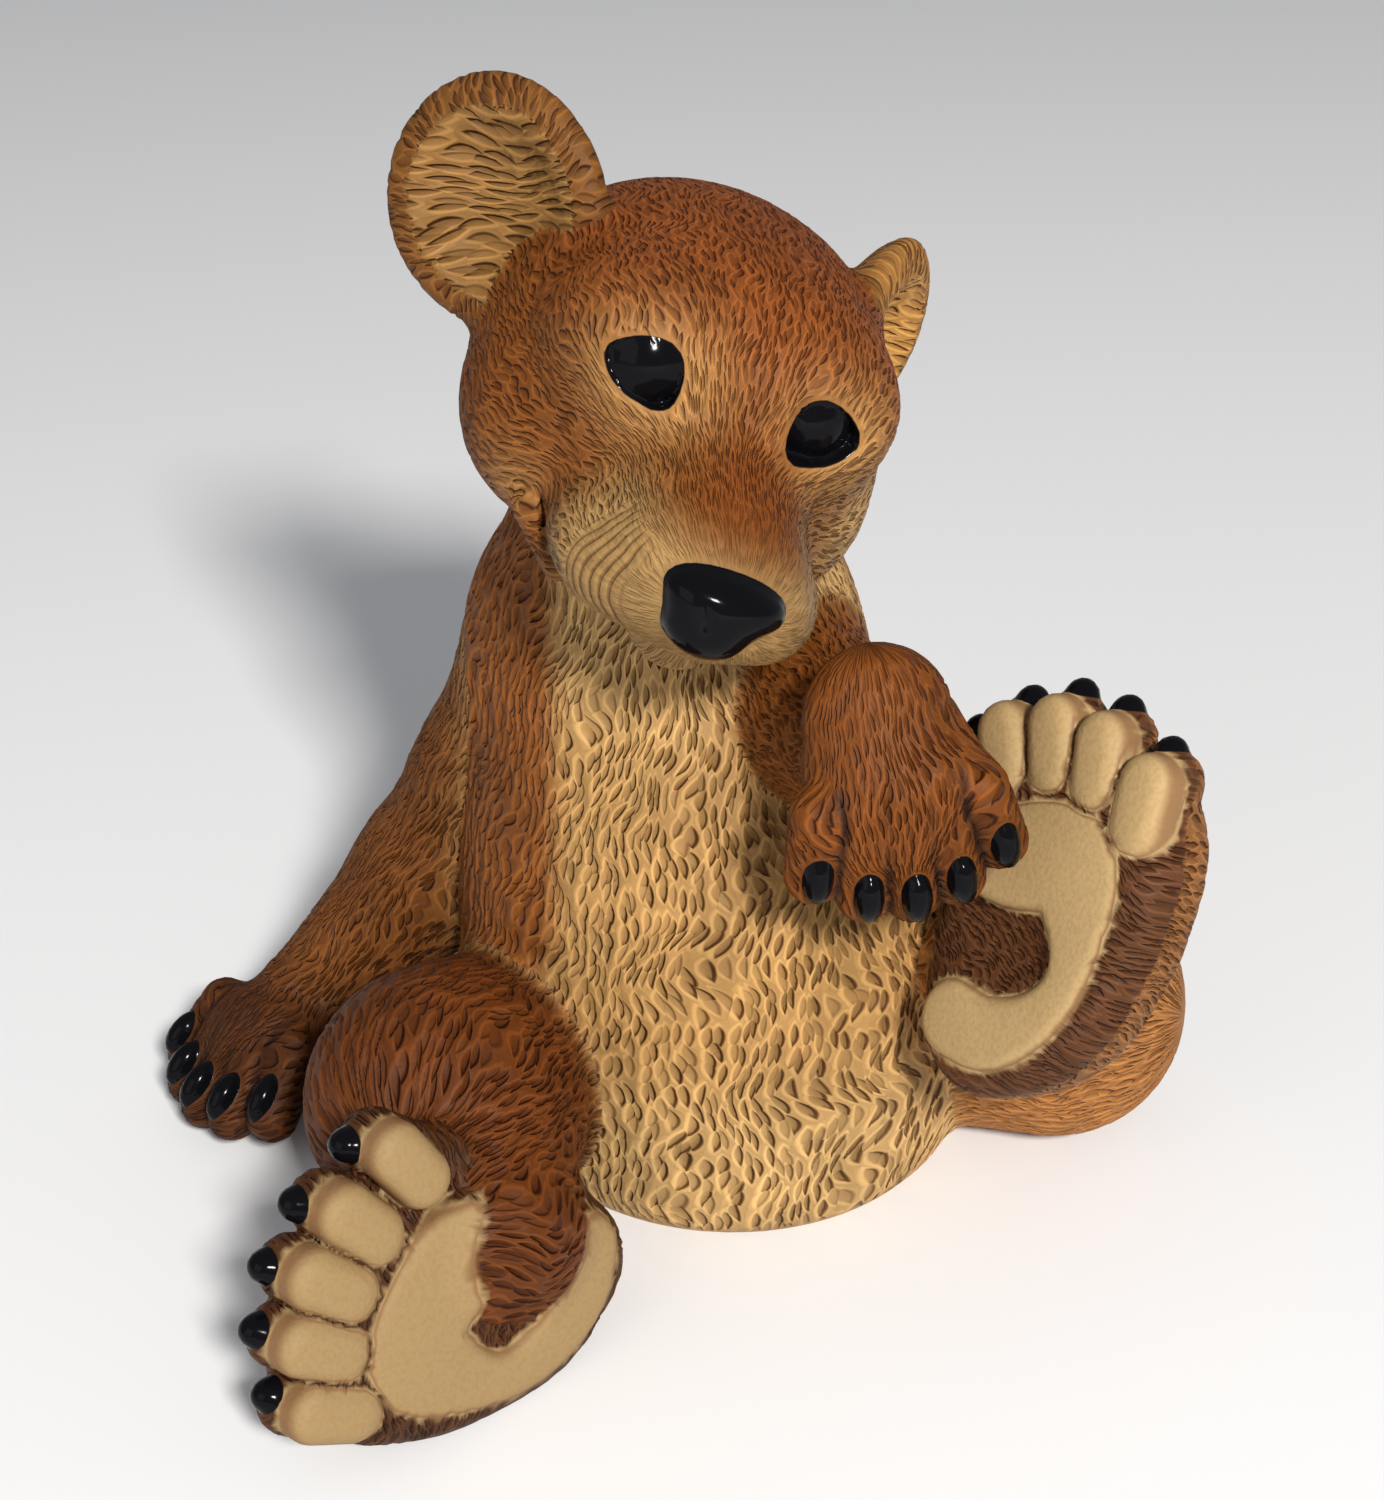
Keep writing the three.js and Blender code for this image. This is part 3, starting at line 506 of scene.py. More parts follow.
# Name, body, joint, reach, wide seam, narrow seam, then a middle and radius that hold the part.
PARTS = (
    ("ear", ear(*RIGHT_EAR), (-50, 0, 214), 60, 5, 5, (-46, 3, 232), 62),
    ("ear", ear(*LEFT_EAR), (42, 6, 190), 60, 5, 5, (46, 14, 197), 62),
    ("head", placed(bare_head, HEAD), (-6, 0, 165), 45, 10, 2, HEAD_AT, 105),
    ("right_arm", right_arm, (-34, 6, 134), 35, 14, 2, (-65, 0, 80), 92),
    ("left_arm", left_arm, (20, 0, 134), 35, 14, 2, (28, -35, 130), 72),
    ("right_leg", right_leg, (-18, -10, 38), 45, 14, 3, (-40, -60, 38), 98),
    ("left_leg", left_leg, (30, -6, 36), 45, 14, 3, (65, -25, 45), 92),
    ("right_foot", placed(foot, RIGHT_FOOT), (-45, -108, 32), 30, 12, 3, RIGHT_FOOT["at"], 66),
    ("left_foot", placed(foot, LEFT_FOOT, -1), (74, -58, 66), 30, 12, 3, LEFT_FOOT["at"], 66),
    ("right_hand", placed(hand, RIGHT_HAND), (-99, -8, 26), 25, 8, 2, RIGHT_HAND["at"], 58),
    ("left_hand", placed(hand, LEFT_HAND), (39, -72, 136), 25, 8, 2, LEFT_HAND["at"], 58),
)


def melted_in(distance, part, x, y, z):
    """Melts one part into the distances so far, only for the points near it."""
    _, body, joint, reach, wide, narrow, middle, radius = part
    away = np.sqrt((x - middle[0]) ** 2 + (y - middle[1]) ** 2 + (z - middle[2]) ** 2) - radius
    near = np.flatnonzero(away < distance + wide)
    x, y, z = x[near], y[near], z[near]
    to_joint = (x - joint[0]) ** 2 + (y - joint[1]) ** 2 + (z - joint[2]) ** 2
    seam = narrow + (wide - narrow) * np.exp(-to_joint / reach**2)
    distance[near] = melt(distance[near], body(x, y, z), seam)
    return distance


def bear(x, y, z):
    """The whole cub; both ears are melted into the head before the head meets the torso."""
    head = placed(bare_head, HEAD)(x, y, z)
    for part in PARTS[:2]:
        head = melted_in(head, part, x, y, z)
    joint, reach, wide, narrow = PARTS[2][2:6]
    to_joint = (x - joint[0]) ** 2 + (y - joint[1]) ** 2 + (z - joint[2]) ** 2
    seam = narrow + (wide - narrow) * np.exp(-to_joint / reach**2)
    distance = melt(torso(x, y, z), head, seam)
    for part in PARTS[3:]:
        distance = melted_in(distance, part, x, y, z)
    return np.maximum(distance, -z)


BLOCK_LOW = (-148, -166, -4)
BLOCK_HIGH = (132, 62, 272)
CELL = 0.9
COARSE = 4
BAND = 6.5


def sampled(body):
    """Distances on a fine grid, worked out exactly only in a band along the skin."""
    step = CELL * COARSE
    count = [math.ceil((high - low) / step) for low, high in zip(BLOCK_LOW, BLOCK_HIGH)]
    middles = [
        (low + CELL * (COARSE - 1) / 2 + step * np.arange(number)).astype(np.float32)
        for low, number in zip(BLOCK_LOW, count)
    ]
    grid = np.meshgrid(*middles, indexing="ij")
    coarse = body(*(values.ravel() for values in grid)).reshape(count)
    fine = coarse
    for axis in range(3):
        fine = np.repeat(fine, COARSE, axis=axis)
    near = np.flatnonzero(np.abs(fine.ravel()) < BAND)
    i, j, k = np.unravel_index(near, fine.shape)
    x, y, z = (
        (low + CELL * index).astype(np.float32) for low, index in zip(BLOCK_LOW, (i, j, k))
    )
    flat = fine.ravel()
    flat[near] = body(x, y, z)
    return flat.reshape(fine.shape)


def skin_of(depth):
    """Closed skin of four-sided faces round the cells that the surface passes through."""
    inside = depth < 0
    corners = [(a, b, c) for a in (0, 1) for b in (0, 1) for c in (0, 1)]
    shape = [size - 1 for size in depth.shape]

    def corner_of(values, corner):
        return values[tuple(slice(c, c + s) for c, s in zip(corner, shape))]

    filled = np.zeros(shape, np.int8)
    for corner in corners:
        filled += corner_of(inside, corner)
    cells = np.argwhere((filled > 0) & (filled < 8))
    total = np.zeros((len(cells), 3), np.float32)
    crossings = np.zeros(len(cells), np.float32)
    values = {corner: depth[tuple((cells + corner).T)] for corner in corners}
    for corner in corners:
        for axis in range(3):
            if corner[axis] == 0:
                other = tuple(c + (n == axis) for n, c in enumerate(corner))
                a, b = values[corner], values[other]
                crossed = (a < 0) != (b < 0)
                share = np.where(crossed, a / np.where(crossed, a - b, 1), 0)
                for n in range(3):
                    total[:, n] += crossed * (corner[n] + (share if n == axis else 0))
                crossings += crossed
    points = (cells + total / crossings[:, None]) * CELL + np.array(BLOCK_LOW)

    number = np.full(shape, -1, np.int32)
    number[tuple(cells.T)] = np.arange(len(cells))
    faces = []
    for axis in range(3):
        one, two = [n for n in range(3) if n != axis]
        first = [slice(None)] * 3
        second = [slice(None)] * 3
        first[axis] = slice(0, -1)
        second[axis] = slice(1, None)
        edges = np.argwhere(inside[tuple(first)] != inside[tuple(second)])
        outward = inside[tuple(edges.T)]
        ring = []
        for step_one, step_two in ((-1, -1), (0, -1), (0, 0), (-1, 0)):
            cell = edges.copy()
            cell[:, one] += step_one
            cell[:, two] += step_two
            ring.append(number[tuple(cell.T)])
        ring = np.stack(ring, axis=1)
        clockwise = outward if axis != 1 else ~outward
        ring[~clockwise] = ring[~clockwise][:, ::-1]
        faces.append(ring)
    return points.astype(np.float32), np.concatenate(faces)


def settled(points, body):
    """Draws every point onto the skin along the body's slope."""
    x, y, z = points.T
    step = 0.15
    slope = np.stack(
        [
            body(x + step, y, z) - body(x - step, y, z),
            body(x, y + step, z) - body(x, y - step, z),
            body(x, y, z + step) - body(x, y, z - step),
        ],
        axis=1,
    ) / (2 * step)
    square = np.maximum((slope**2).sum(axis=1), 0.25)
    move = np.clip(body(x, y, z) / square, -CELL / 2, CELL / 2)
    return points - move[:, None] * slope


points, faces = skin_of(sampled(bear))
points = settled(points, bear)


# Carved fur: every stroke of the modelling tool left a leaf-shaped scoop in a net of ridges. The
# scoops are painted dark, part dark wash and part painted shade that is heavier on their low side,
# and the ridges pale, part dry brush and part painted highlight. The strokes run from the nose over
# the head, down the torso, along the limbs and away from the soles. Each region gets flat
# coordinates in millimetres, along the fur and across it, and the second repeats once round the
# region.

TORSO_ROUND = 50
HEAD_ROUND = 42
EAR_ROUND = 20
FOOT_ROUND = 34
HAND_ROUND = 18


def smooth_ramp(low, high, value):
    share = np.clip((value - low) / (high - low), 0, 1)
    return share * share * (3 - 2 * share)


def torso_fur(x, y, z):
    out = np.hypot(x - 6, y + 8)
    return 0.6 * out - z, TORSO_ROUND * np.arctan2(x - 6, -(y + 8))


def limb_fur(start, end, hidden, radius):
    """Along a limb and round it, with the join on its hidden side."""
    axis = unit(np.subtract(end, start))
    rear = unit(hidden - np.dot(hidden, axis) * axis)
    beside = np.cross(axis, rear)

    def fur(x, y, z):
        from_start = np.stack([x, y, z], axis=1) - start
        return from_start @ axis, radius * np.arctan2(from_start @ beside, -(from_start @ rear))

    return fur


MUZZLE_AXIS = unit((0, -92, -16))
MUZZLE_UP = np.cross((1, 0, 0), -MUZZLE_AXIS)
SKULL_RADIUS = 46


def head_fur(x, y, z):
    """Round the head from the nose to the nape, and round the line of the snout."""
    x, y, z = local_to(HEAD, x, y, z)
    spot = np.stack([x, y - 4, z - 4], axis=1)
    away = np.linalg.norm(spot, axis=1)
    from_nose = np.arccos(np.clip(spot @ MUZZLE_AXIS / np.maximum(away, 1), -1, 1))
    along = SKULL_RADIUS * from_nose - 0.8 * np.maximum(away - 42, 0)
    return along, HEAD_ROUND * np.arctan2(x, spot @ MUZZLE_UP)


def ear_dish_fur(pose):
    def fur(x, y, z):
        u, _, w = ear_local(*local_to(HEAD, x, y, z), *pose)
        return u + 0.25 * w, w - 0.25 * u

    return fur


def ear_back_fur(pose):
    def fur(x, y, z):
        u, _, w = ear_local(*local_to(HEAD, x, y, z), *pose)
        return np.hypot(u, w), EAR_ROUND * np.arctan2(u, w)

    return fur


def foot_side_fur(axes, side):
    def fur(x, y, z):
        x, y, z = local_to(axes, x, y, z, side)
        return -z, FOOT_ROUND * np.arctan2(y, -x)

    return fur


def arch_fur(axes, side):
    def fur(x, y, z):
        x, y, z = local_to(axes, x, y, z, side)
        return 0.3 * x - y, x + 0.3 * y

    return fur


def hand_fur(axes):
    def fur(x, y, z):
        x, y, z = local_to(axes, x, y, z)
        return x, HAND_ROUND * np.arctan2(y, z)

    return fur


# Start, end, hidden side and radius of each limb's run of fur.
LIMB_RUNS = {
    "right_arm": ((-31, 6, 128), (-96, -8, 27), (0, 1, 0), 19),
    "left_arm": ((14, 0, 126), (38, -72, 134), (0, 0, -1), 18),
    "right_leg": ((-20, -15, 24), (-56, -92, 40), (0, 0, -1), 28),
    "left_leg": ((30, -8, 34), (92, -26, 36), (0, 1, -1), 30),
}


def limb_strokes(name, length, width, depth):
    run = LIMB_RUNS[name]
    return limb_fur(*run), length, width, depth, run[3]


# Coordinates, length and width of a stroke and depth of the carving in millimetres, and the radius
# of the round that the fur goes through, or 0 where it goes round nothing.
FUR = {
    "torso": (torso_fur, 6.0, 2.0, 0.95, TORSO_ROUND),
    "head": (head_fur, 3.8, 1.35, 0.5, HEAD_ROUND),
    "right_arm": limb_strokes("right_arm", 5, 1.7, 0.9),
    "left_arm": limb_strokes("left_arm", 4.6, 1.5, 0.8),
    "right_leg": limb_strokes("right_leg", 5.2, 1.7, 0.8),
    "left_leg": limb_strokes("left_leg", 4.6, 1.6, 0.65),
    "right_foot": (foot_side_fur(RIGHT_FOOT, 1), 4.2, 1.4, 0.7, FOOT_ROUND),
    "left_foot": (foot_side_fur(LEFT_FOOT, -1), 4.2, 1.4, 0.7, FOOT_ROUND),
    "right_hand": (hand_fur(RIGHT_HAND), 4.4, 1.35, 0.65, HAND_ROUND),
    "left_hand": (hand_fur(LEFT_HAND), 4.6, 1.35, 0.75, HAND_ROUND),
    "right_arch": (arch_fur(RIGHT_FOOT, 1), 3.6, 1.3, 0.7, 0),
    "left_arch": (arch_fur(LEFT_FOOT, -1), 3.6, 1.3, 0.7, 0),
    "right_dish": (ear_dish_fur(RIGHT_EAR), 8, 2.0, 0.9, 0),
    "left_dish": (ear_dish_fur(LEFT_EAR), 7, 1.8, 0.7, 0),
    "right_ear": (ear_back_fur(RIGHT_EAR), 4.2, 1.5, 0.4, EAR_ROUND),
    "left_ear": (ear_back_fur(LEFT_EAR), 4.2, 1.5, 0.4, EAR_ROUND),
}
REGIONS = list(FUR)
FEET = (("right_foot", "right_arch", RIGHT_FOOT, 1), ("left_foot", "left_arch", LEFT_FOOT, -1))
EARS = (("right_ear", "right_dish", RIGHT_EAR), ("left_ear", "left_dish", LEFT_EAR))

# Limits of the regions and of the paint on eyes, nose, claws and pads, in millimetres.
ARCH_HEIGHT = -11
DISH_RADIUS = 24
DISH_SKIN = 1.5
EYE_NEAR = -24
EYE_FAR = -64
PAINT_LAP = 0.4
PAINT_SINKS = 2
PAD_GROOVE = 1.2
PAD_LOWEST = -9.5
FAR_OFF = 60


def depths_of(x, y, z):
    """The distance of each point to the skin of each part, one row a region."""
    depths = np.full((len(REGIONS), len(x)), FAR_OFF, np.float32)
    depths[REGIONS.index("torso")] = torso(x, y, z)
    for name, body, *_ in PARTS[2:]:
        depths[REGIONS.index(name)] = body(x, y, z)
    for name, _, pose in EARS:
        depths[REGIONS.index(name)] = ear(*pose)(x, y, z)
    return depths


def region_of(x, y, z, depths):
    """Number of the region that each point lies in."""
    region = depths.argmin(axis=0)
    for name, arch, axes, side in FEET:
        _, _, height = local_to(axes, x, y, z, side)
        region[(region == REGIONS.index(name)) & (height > ARCH_HEIGHT)] = REGIONS.index(arch)
    for name, dish, pose in EARS:
        u, v, w = ear_local(*local_to(HEAD, x, y, z), *pose)
        in_dish = (np.hypot(u, w) < DISH_RADIUS) & (ear_dish(u, v, w) < DISH_SKIN)
        region[(region == REGIONS.index(name)) & in_dish] = REGIONS.index(dish)
    return region


def proud_of(part, flesh):
    """Below zero where a part stands out of the flesh, and only near its own skin."""
    return np.maximum(part - flesh, part - PAINT_SINKS)


def black_depth(x, y, z):
    """Below zero on eyes, nose and claws."""
    hx, hy, hz = local_to(HEAD, x, y, z)
    at_eyes = (hy < EYE_NEAR) & (hy > EYE_FAR)
    in_lids = eye_distance(hx, np.minimum(hy, EYE_FRONT - 0.5), hz) - PAINT_LAP
    depth = np.where(at_eyes, in_lids, FAR_OFF)
    depth = np.minimum(depth, proud_of(nose(hx, hy, hz), skull_and_jaw(hx, hy, hz)))
    for _, _, axes, side in FEET:
        spot = local_to(axes, x, y, z, side)
        flesh = np.minimum(foot_flesh(*spot), nearest(toe_pads, *spot))
        depth = np.minimum(depth, proud_of(nearest(toe_claws, *spot), flesh))
    for axes in (RIGHT_HAND, LEFT_HAND):
        spot = local_to(axes, x, y, z)
        depth = np.minimum(depth, proud_of(nearest(finger_claws, *spot), hand_flesh(*spot)))
    return depth


def pad_depth(x, y, z):
    """Below zero on the bare pads of the soles and toes."""
    depth = np.full_like(x, FAR_OFF)
    for _, _, axes, side in FEET:
        spot = local_to(axes, x, y, z, side)
        flesh = foot_flesh(*spot)
        sole = proud_of(sole_pad(*spot), flesh)
        each = np.sort([sole_pad(*spot), *(toe_pad(*spot) for toe_pad in toe_pads)], axis=0)
        groove = PAD_GROOVE - (each[1] - each[0])
        toe = np.maximum(proud_of(nearest(toe_pads, *spot), flesh), PAD_LOWEST - spot[2])
        bare = np.maximum(np.minimum(sole, toe), groove)
        beside = nearest(pad_outlines, spot[0], spot[1]) - PAINT_LAP
        depth = np.minimum(depth, np.where(bare < 0, np.maximum(beside, 4 * bare), bare))
    return depth


def triples(items, name):
    """One three-part value of every item of a mesh."""
    values = np.empty(len(items) * 3, np.float32)
    items.foreach_get(name, values)
    return values.reshape(-1, 3)


def per_point(mesh, name, kind, values):
    field = {"FLOAT": "value", "FLOAT_VECTOR": "vector", "FLOAT_COLOR": "color"}[kind]
    layer = mesh.attributes.new(name, kind, "POINT")
    layer.data.foreach_set(field, np.ascontiguousarray(values, np.float32).ravel())


def fur_at(spots, region):
    """Stroke coordinates of each point in its region, counted in strokes."""
    flow = np.zeros((len(spots), 3), np.float32)
    for number, name in enumerate(REGIONS):
        chosen = np.flatnonzero(region == number)
        if len(chosen):
            coordinates, length, width, _, _ = FUR[name]
            along, across = coordinates(*spots[chosen].T)
            flow[chosen, 0] = along / length
            flow[chosen, 1] = across / width
            flow[chosen, 2] = number
    return flow


# Millimetres from the middle line of a limb over which its strokes grow to their full depth, and
# the shares that strokes lose on the back and the muzzle.
WHORL = (2, 15)
LESS_ON_BACK = 0.45
LESS_ON_MUZZLE = 0.55


def pile_at(spots, normals, region, bare):
    """Depth of the carving: less on back and muzzle, none on bare parts and by the underside."""
    depth = np.array([FUR[name][3] for name in REGIONS], np.float32)[region]
    depth *= 1 - LESS_ON_BACK * smooth_ramp(0.1, 0.7, normals[:, 1])
    depth *= smooth_ramp(0.5, 4, spots[:, 2]) * smooth_ramp(0.2, 1.6, bare)
    for name, (start, end, _, _) in LIMB_RUNS.items():
        here = region == REGIONS.index(name)
        from_line = np.cross(spots[here] - start, unit(np.subtract(end, start)))
        depth[here] *= smooth_ramp(*WHORL, np.linalg.norm(from_line, axis=1))
    for name, _, axes, side in FEET:
        here = region == REGIONS.index(name)
        x, y, _ = local_to(axes, *spots[here].T, side)
        depth[here] *= smooth_ramp(*WHORL, np.hypot(x, y))
    hx, hy, hz = local_to(HEAD, *spots.T)
    muzzle = smooth_ramp(-52, -78, hy) * smooth_ramp(60, 40, np.hypot(hx, hz + 10))
    return depth * (1 - LESS_ON_MUZZLE * muzzle)


# Fine folds: spacing and depth in millimetres, and how much of the strokes they smooth away.
FOLD_SPACING = 2.5
FOLD_DEPTH = 0.45
SMOOTHED_BY_FOLDS = 0.7


def crease_at(x, y, z):
    """Where the flesh of the right cheek is drawn into fine folds behind the nose, 0 to 1."""
    along, across = head_fur(x, y, z)
    _, hy, _ = local_to(HEAD, x, y, z)
    round_nose = across / HEAD_ROUND
    fold_band = smooth_ramp(-25, -21, along) * smooth_ramp(-5, -9, along)
    right_side = smooth_ramp(-1.3, -1.6, round_nose) * smooth_ramp(-2.9, -2.4, round_nose)
    return fold_band * right_side * smooth_ramp(-50, -58, hy)


def carve_depths(mesh, spots, region, bare):
    """Stores the depth of the strokes and the strength of the fine folds at each point."""
    normals = triples(mesh.vertex_normals, "vector")
    crease = crease_at(*spots.T) * (region == REGIONS.index("head"))
    pile = pile_at(spots, normals, region, bare) * (1 - SMOOTHED_BY_FOLDS * crease)
    per_point(mesh, "pile", "FLOAT", pile)
    per_point(mesh, "crease", "FLOAT", crease)


# The clay is worked in millimetres and the scene in metres.
MILLIMETRE = 0.001
METRE = 1000

skin = bpy.data.meshes.new("bear_skin")
skin.from_pydata((points * MILLIMETRE).tolist(), [], faces.tolist())
x, y, z = points.T
region = region_of(x, y, z, depths_of(x, y, z))
bare = np.minimum(black_depth(x, y, z), pad_depth(x, y, z))
per_point(skin, "fur", "FLOAT_VECTOR", fur_at(points, region))
carve_depths(skin, points, region, bare)


class Wiring:
    """Adds and joins nodes of one tree."""

    def __init__(self, tree):
        self.tree = tree

    def node(self, kind, inputs=(), **settings):
        made = self.tree.nodes.new(kind)
        for name, value in settings.items():
            setattr(made, name, value)
        for slot_name, value in dict(inputs).items():
            socket = made.inputs[slot_name]
            if isinstance(value, bpy.types.NodeSocket):
                self.tree.links.new(value, socket)
            else:
                socket.default_value = value
        return made

    def sums(self, operation, *values):
        made = self.node("ShaderNodeMath", dict(enumerate(values)), operation=operation)
        return made.outputs[0]

    def vectors(self, operation, *values):
        made = self.node("ShaderNodeVectorMath", dict(enumerate(values)), operation=operation)
        return made.outputs[0]

    def ramp(self, value, low, high, to_low=0.0, to_high=1.0):
        """Goes softly from one value at low to another at high."""
        inputs = {
            "Value": value, "From Min": low, "From Max": high, "To Min": to_low, "To Max": to_high,
        }
        return self.node("ShaderNodeMapRange", inputs, interpolation_type="SMOOTHSTEP").outputs[0]


# In stroke widths: how far the strokes sway, bend and slant, and how fast they narrow to their
# tips. The waves of the sway are told by how many fit a stroke along and across.
SWAY_WAVES = (0.22, 0.08, 0.0)
SWAY = 7.0
BEND = 1.6
SLANT = 0.9
NARROWING = 1.4
SCATTER = 0.95


def carved_strokes(wiring, flow):
    """The leaf-shaped scoops: height, dark recess with painted shade, bright ridge with painted
    highlight, a value for each, and the sway.
    """
    broad = wiring.vectors("MULTIPLY", flow, SWAY_WAVES)
    waves = wiring.node(
        "ShaderNodeTexNoise", {"Vector": broad, "Scale": 1.0, "Detail": 1.0}, noise_dimensions="2D"
    )
    sway = wiring.sums("MULTIPLY", waves.outputs["Fac"], SWAY)
    swayed = wiring.node("ShaderNodeCombineXYZ", {"Y": sway}).outputs[0]
    flow = wiring.vectors("ADD", flow, swayed)
    lock = wiring.node(
        "ShaderNodeTexVoronoi",
        {"Vector": flow, "Scale": 1.0, "Randomness": SCATTER},
        voronoi_dimensions="2D",
    )
    chance = wiring.node("ShaderNodeSeparateXYZ", {0: lock.outputs["Color"]}).outputs
    inward = wiring.vectors("SUBTRACT", flow, lock.outputs["Position"])
    place = wiring.node("ShaderNodeSeparateXYZ", {0: inward}).outputs
    square = wiring.sums("MULTIPLY", place[0], place[0])
    bend = wiring.sums("MULTIPLY_ADD", chance[0], BEND, -BEND / 2)
    across = wiring.sums("MULTIPLY_ADD", square, bend, place[1])
    slant = wiring.sums("MULTIPLY_ADD", chance[1], SLANT, -SLANT / 2)
    across = wiring.sums("MULTIPLY_ADD", place[0], slant, across)
    near = wiring.sums("MULTIPLY_ADD", square, NARROWING, wiring.sums("ABSOLUTE", across))
    low_side = wiring.sums("MULTIPLY_ADD", place[0], 0.3, across)
    lean = wiring.ramp(low_side, -0.22, 0.22)
    share = wiring.ramp(chance[2], 0.1, 0.6, 0.45, 1.0)
    pit = wiring.sums("MULTIPLY", wiring.ramp(near, 0.12, 0.5, 1.0, 0.0), share)
    pit = wiring.sums("MULTIPLY", pit, wiring.sums("MULTIPLY_ADD", lean, 0.55, 0.45))
    lift = wiring.sums("MULTIPLY_ADD", chance[1], 0.25, 0.8)
    height = wiring.sums("SUBTRACT", lift, pit)
    rim = wiring.ramp(near, 0.38, 0.54, 1.0, 0.0)
    # Painted shade: a thin dark line and the pit darken the low side of each scoop, over the dark
    # wash.
    line = wiring.sums("MULTIPLY", wiring.ramp(near, 0.14, 0.32), rim)
    line = wiring.sums("MULTIPLY", line, wiring.sums("MULTIPLY", lean, share))
    wash_and_shade = wiring.sums("MULTIPLY_ADD", pit, 0.6, line)
    # Painted highlight with the dry brush: the ridges are paler, most on their high side.
    crest = wiring.ramp(near, 0.56, 0.85, 1.0, 0.0)
    brush_and_highlight = wiring.sums("MULTIPLY", wiring.ramp(near, 0.32, 0.48), crest)
    brush_and_highlight = wiring.sums("MULTIPLY", brush_and_highlight, wiring.ramp(low_side, -0.2, 0.15, 1.0, 0.3))
    return height, wash_and_shade, brush_and_highlight, chance[1], sway


def fine_folds(wiring, flow, sway, crease):
    """Thin lines across the run of the fur, 1 in the bottom of each."""
    along = wiring.node("ShaderNodeSeparateXYZ", {0: flow}).outputs[0]
    turn = wiring.sums("MULTIPLY", along, 2 * math.pi * FUR["head"][1] / FOLD_SPACING)
    wave = wiring.sums("SINE", wiring.sums("MULTIPLY_ADD", sway, 1.2, turn))
    return wiring.sums("MULTIPLY", wiring.ramp(wave, 0.25, 1.0), crease)


SKIN_LEVEL = 0.65


def carving_tree():
    """Moves the skin along its normals by the height of the strokes over their middle level."""
    tree = bpy.data.node_groups.new("carved_fur", "GeometryNodeTree")
    tree.interface.new_socket("Skin", in_out="INPUT", socket_type="NodeSocketGeometry")
    tree.interface.new_socket("Depth", in_out="INPUT", socket_type="NodeSocketFloat")
    tree.interface.new_socket("Finish", in_out="INPUT", socket_type="NodeSocketMaterial")
    tree.interface.new_socket("Carved", in_out="OUTPUT", socket_type="NodeSocketGeometry")
    wiring = Wiring(tree)
    given = wiring.node("NodeGroupInput").outputs
    flow, pile, crease = (
        wiring.node("GeometryNodeInputNamedAttribute", {"Name": name}, data_type=kind).outputs[0]
        for name, kind in (("fur", "FLOAT_VECTOR"), ("pile", "FLOAT"), ("crease", "FLOAT"))
    )
    height, _, _, _, sway = carved_strokes(wiring, flow)
    height = wiring.sums("MULTIPLY", wiring.sums("SUBTRACT", height, SKIN_LEVEL), pile)
    fold = fine_folds(wiring, flow, sway, crease)
    height = wiring.sums("MULTIPLY_ADD", fold, -FOLD_DEPTH, height)
    height = wiring.sums("MULTIPLY", height, given["Depth"])
    normal = wiring.node("GeometryNodeInputNormal").outputs[0]
    shift = wiring.node(
        "ShaderNodeVectorMath", {0: normal, "Scale": height}, operation="SCALE"
    ).outputs[0]
    moved = wiring.node("GeometryNodeSetPosition", {"Geometry": given["Skin"], "Offset": shift})
    real = wiring.node("GeometryNodeRealizeInstances", {0: moved.outputs[0]})
    dressed = wiring.node(
        "GeometryNodeSetMaterial", {"Geometry": real.outputs[0], "Material": given["Finish"]}
    )
    wiring.node("NodeGroupOutput", {"Carved": dressed.outputs[0]})
    return tree


resin_paint = bpy.data.materials.new("painted_resin")
carving = carving_tree()
blank = bpy.data.objects.new("bear_blank", skin)
bpy.context.scene.collection.objects.link(blank)
modifier = blank.modifiers.new("carved_fur", "NODES")
modifier.node_group = carving
for item in carving.interface.items_tree:
    if item.name == "Depth":
        modifier[item.identifier] = MILLIMETRE
    if item.name == "Finish":
        modifier[item.identifier] = resin_paint
CUB_FACETS = 190000
thinning = blank.modifiers.new("thinning", "DECIMATE")
thinning.ratio = min(1.0, CUB_FACETS / (2 * len(faces)))
thinning.use_collapse_triangulate = True
carved = bpy.data.meshes.new_from_object(
    blank.evaluated_get(bpy.context.evaluated_depsgraph_get())
)
bpy.data.objects.remove(blank)
carved.name = "bear_figure"


# Paint: tan belly, muzzle, eye rings and pads, brown to reddish back, head and limbs, sprayed on
# with soft edges, a dark wash with painted shade in the recesses, ridges paled by dry brush and
# painted highlight, and gloss black eyes, nose and claws. Painted shade also darkens the parts on
# the right side, the pads of the right foot, the flank beside the right arm and the clefts between
# the fingers, and painted light makes the chest paler.


def colour(red, green, blue):
    """A paint mixed to screen values, as light."""
    shares = [value / 255 for value in (red, green, blue)]
    return [s / 12.92 if s <= 0.04045 else ((s + 0.055) / 1.055) ** 2.4 for s in shares]


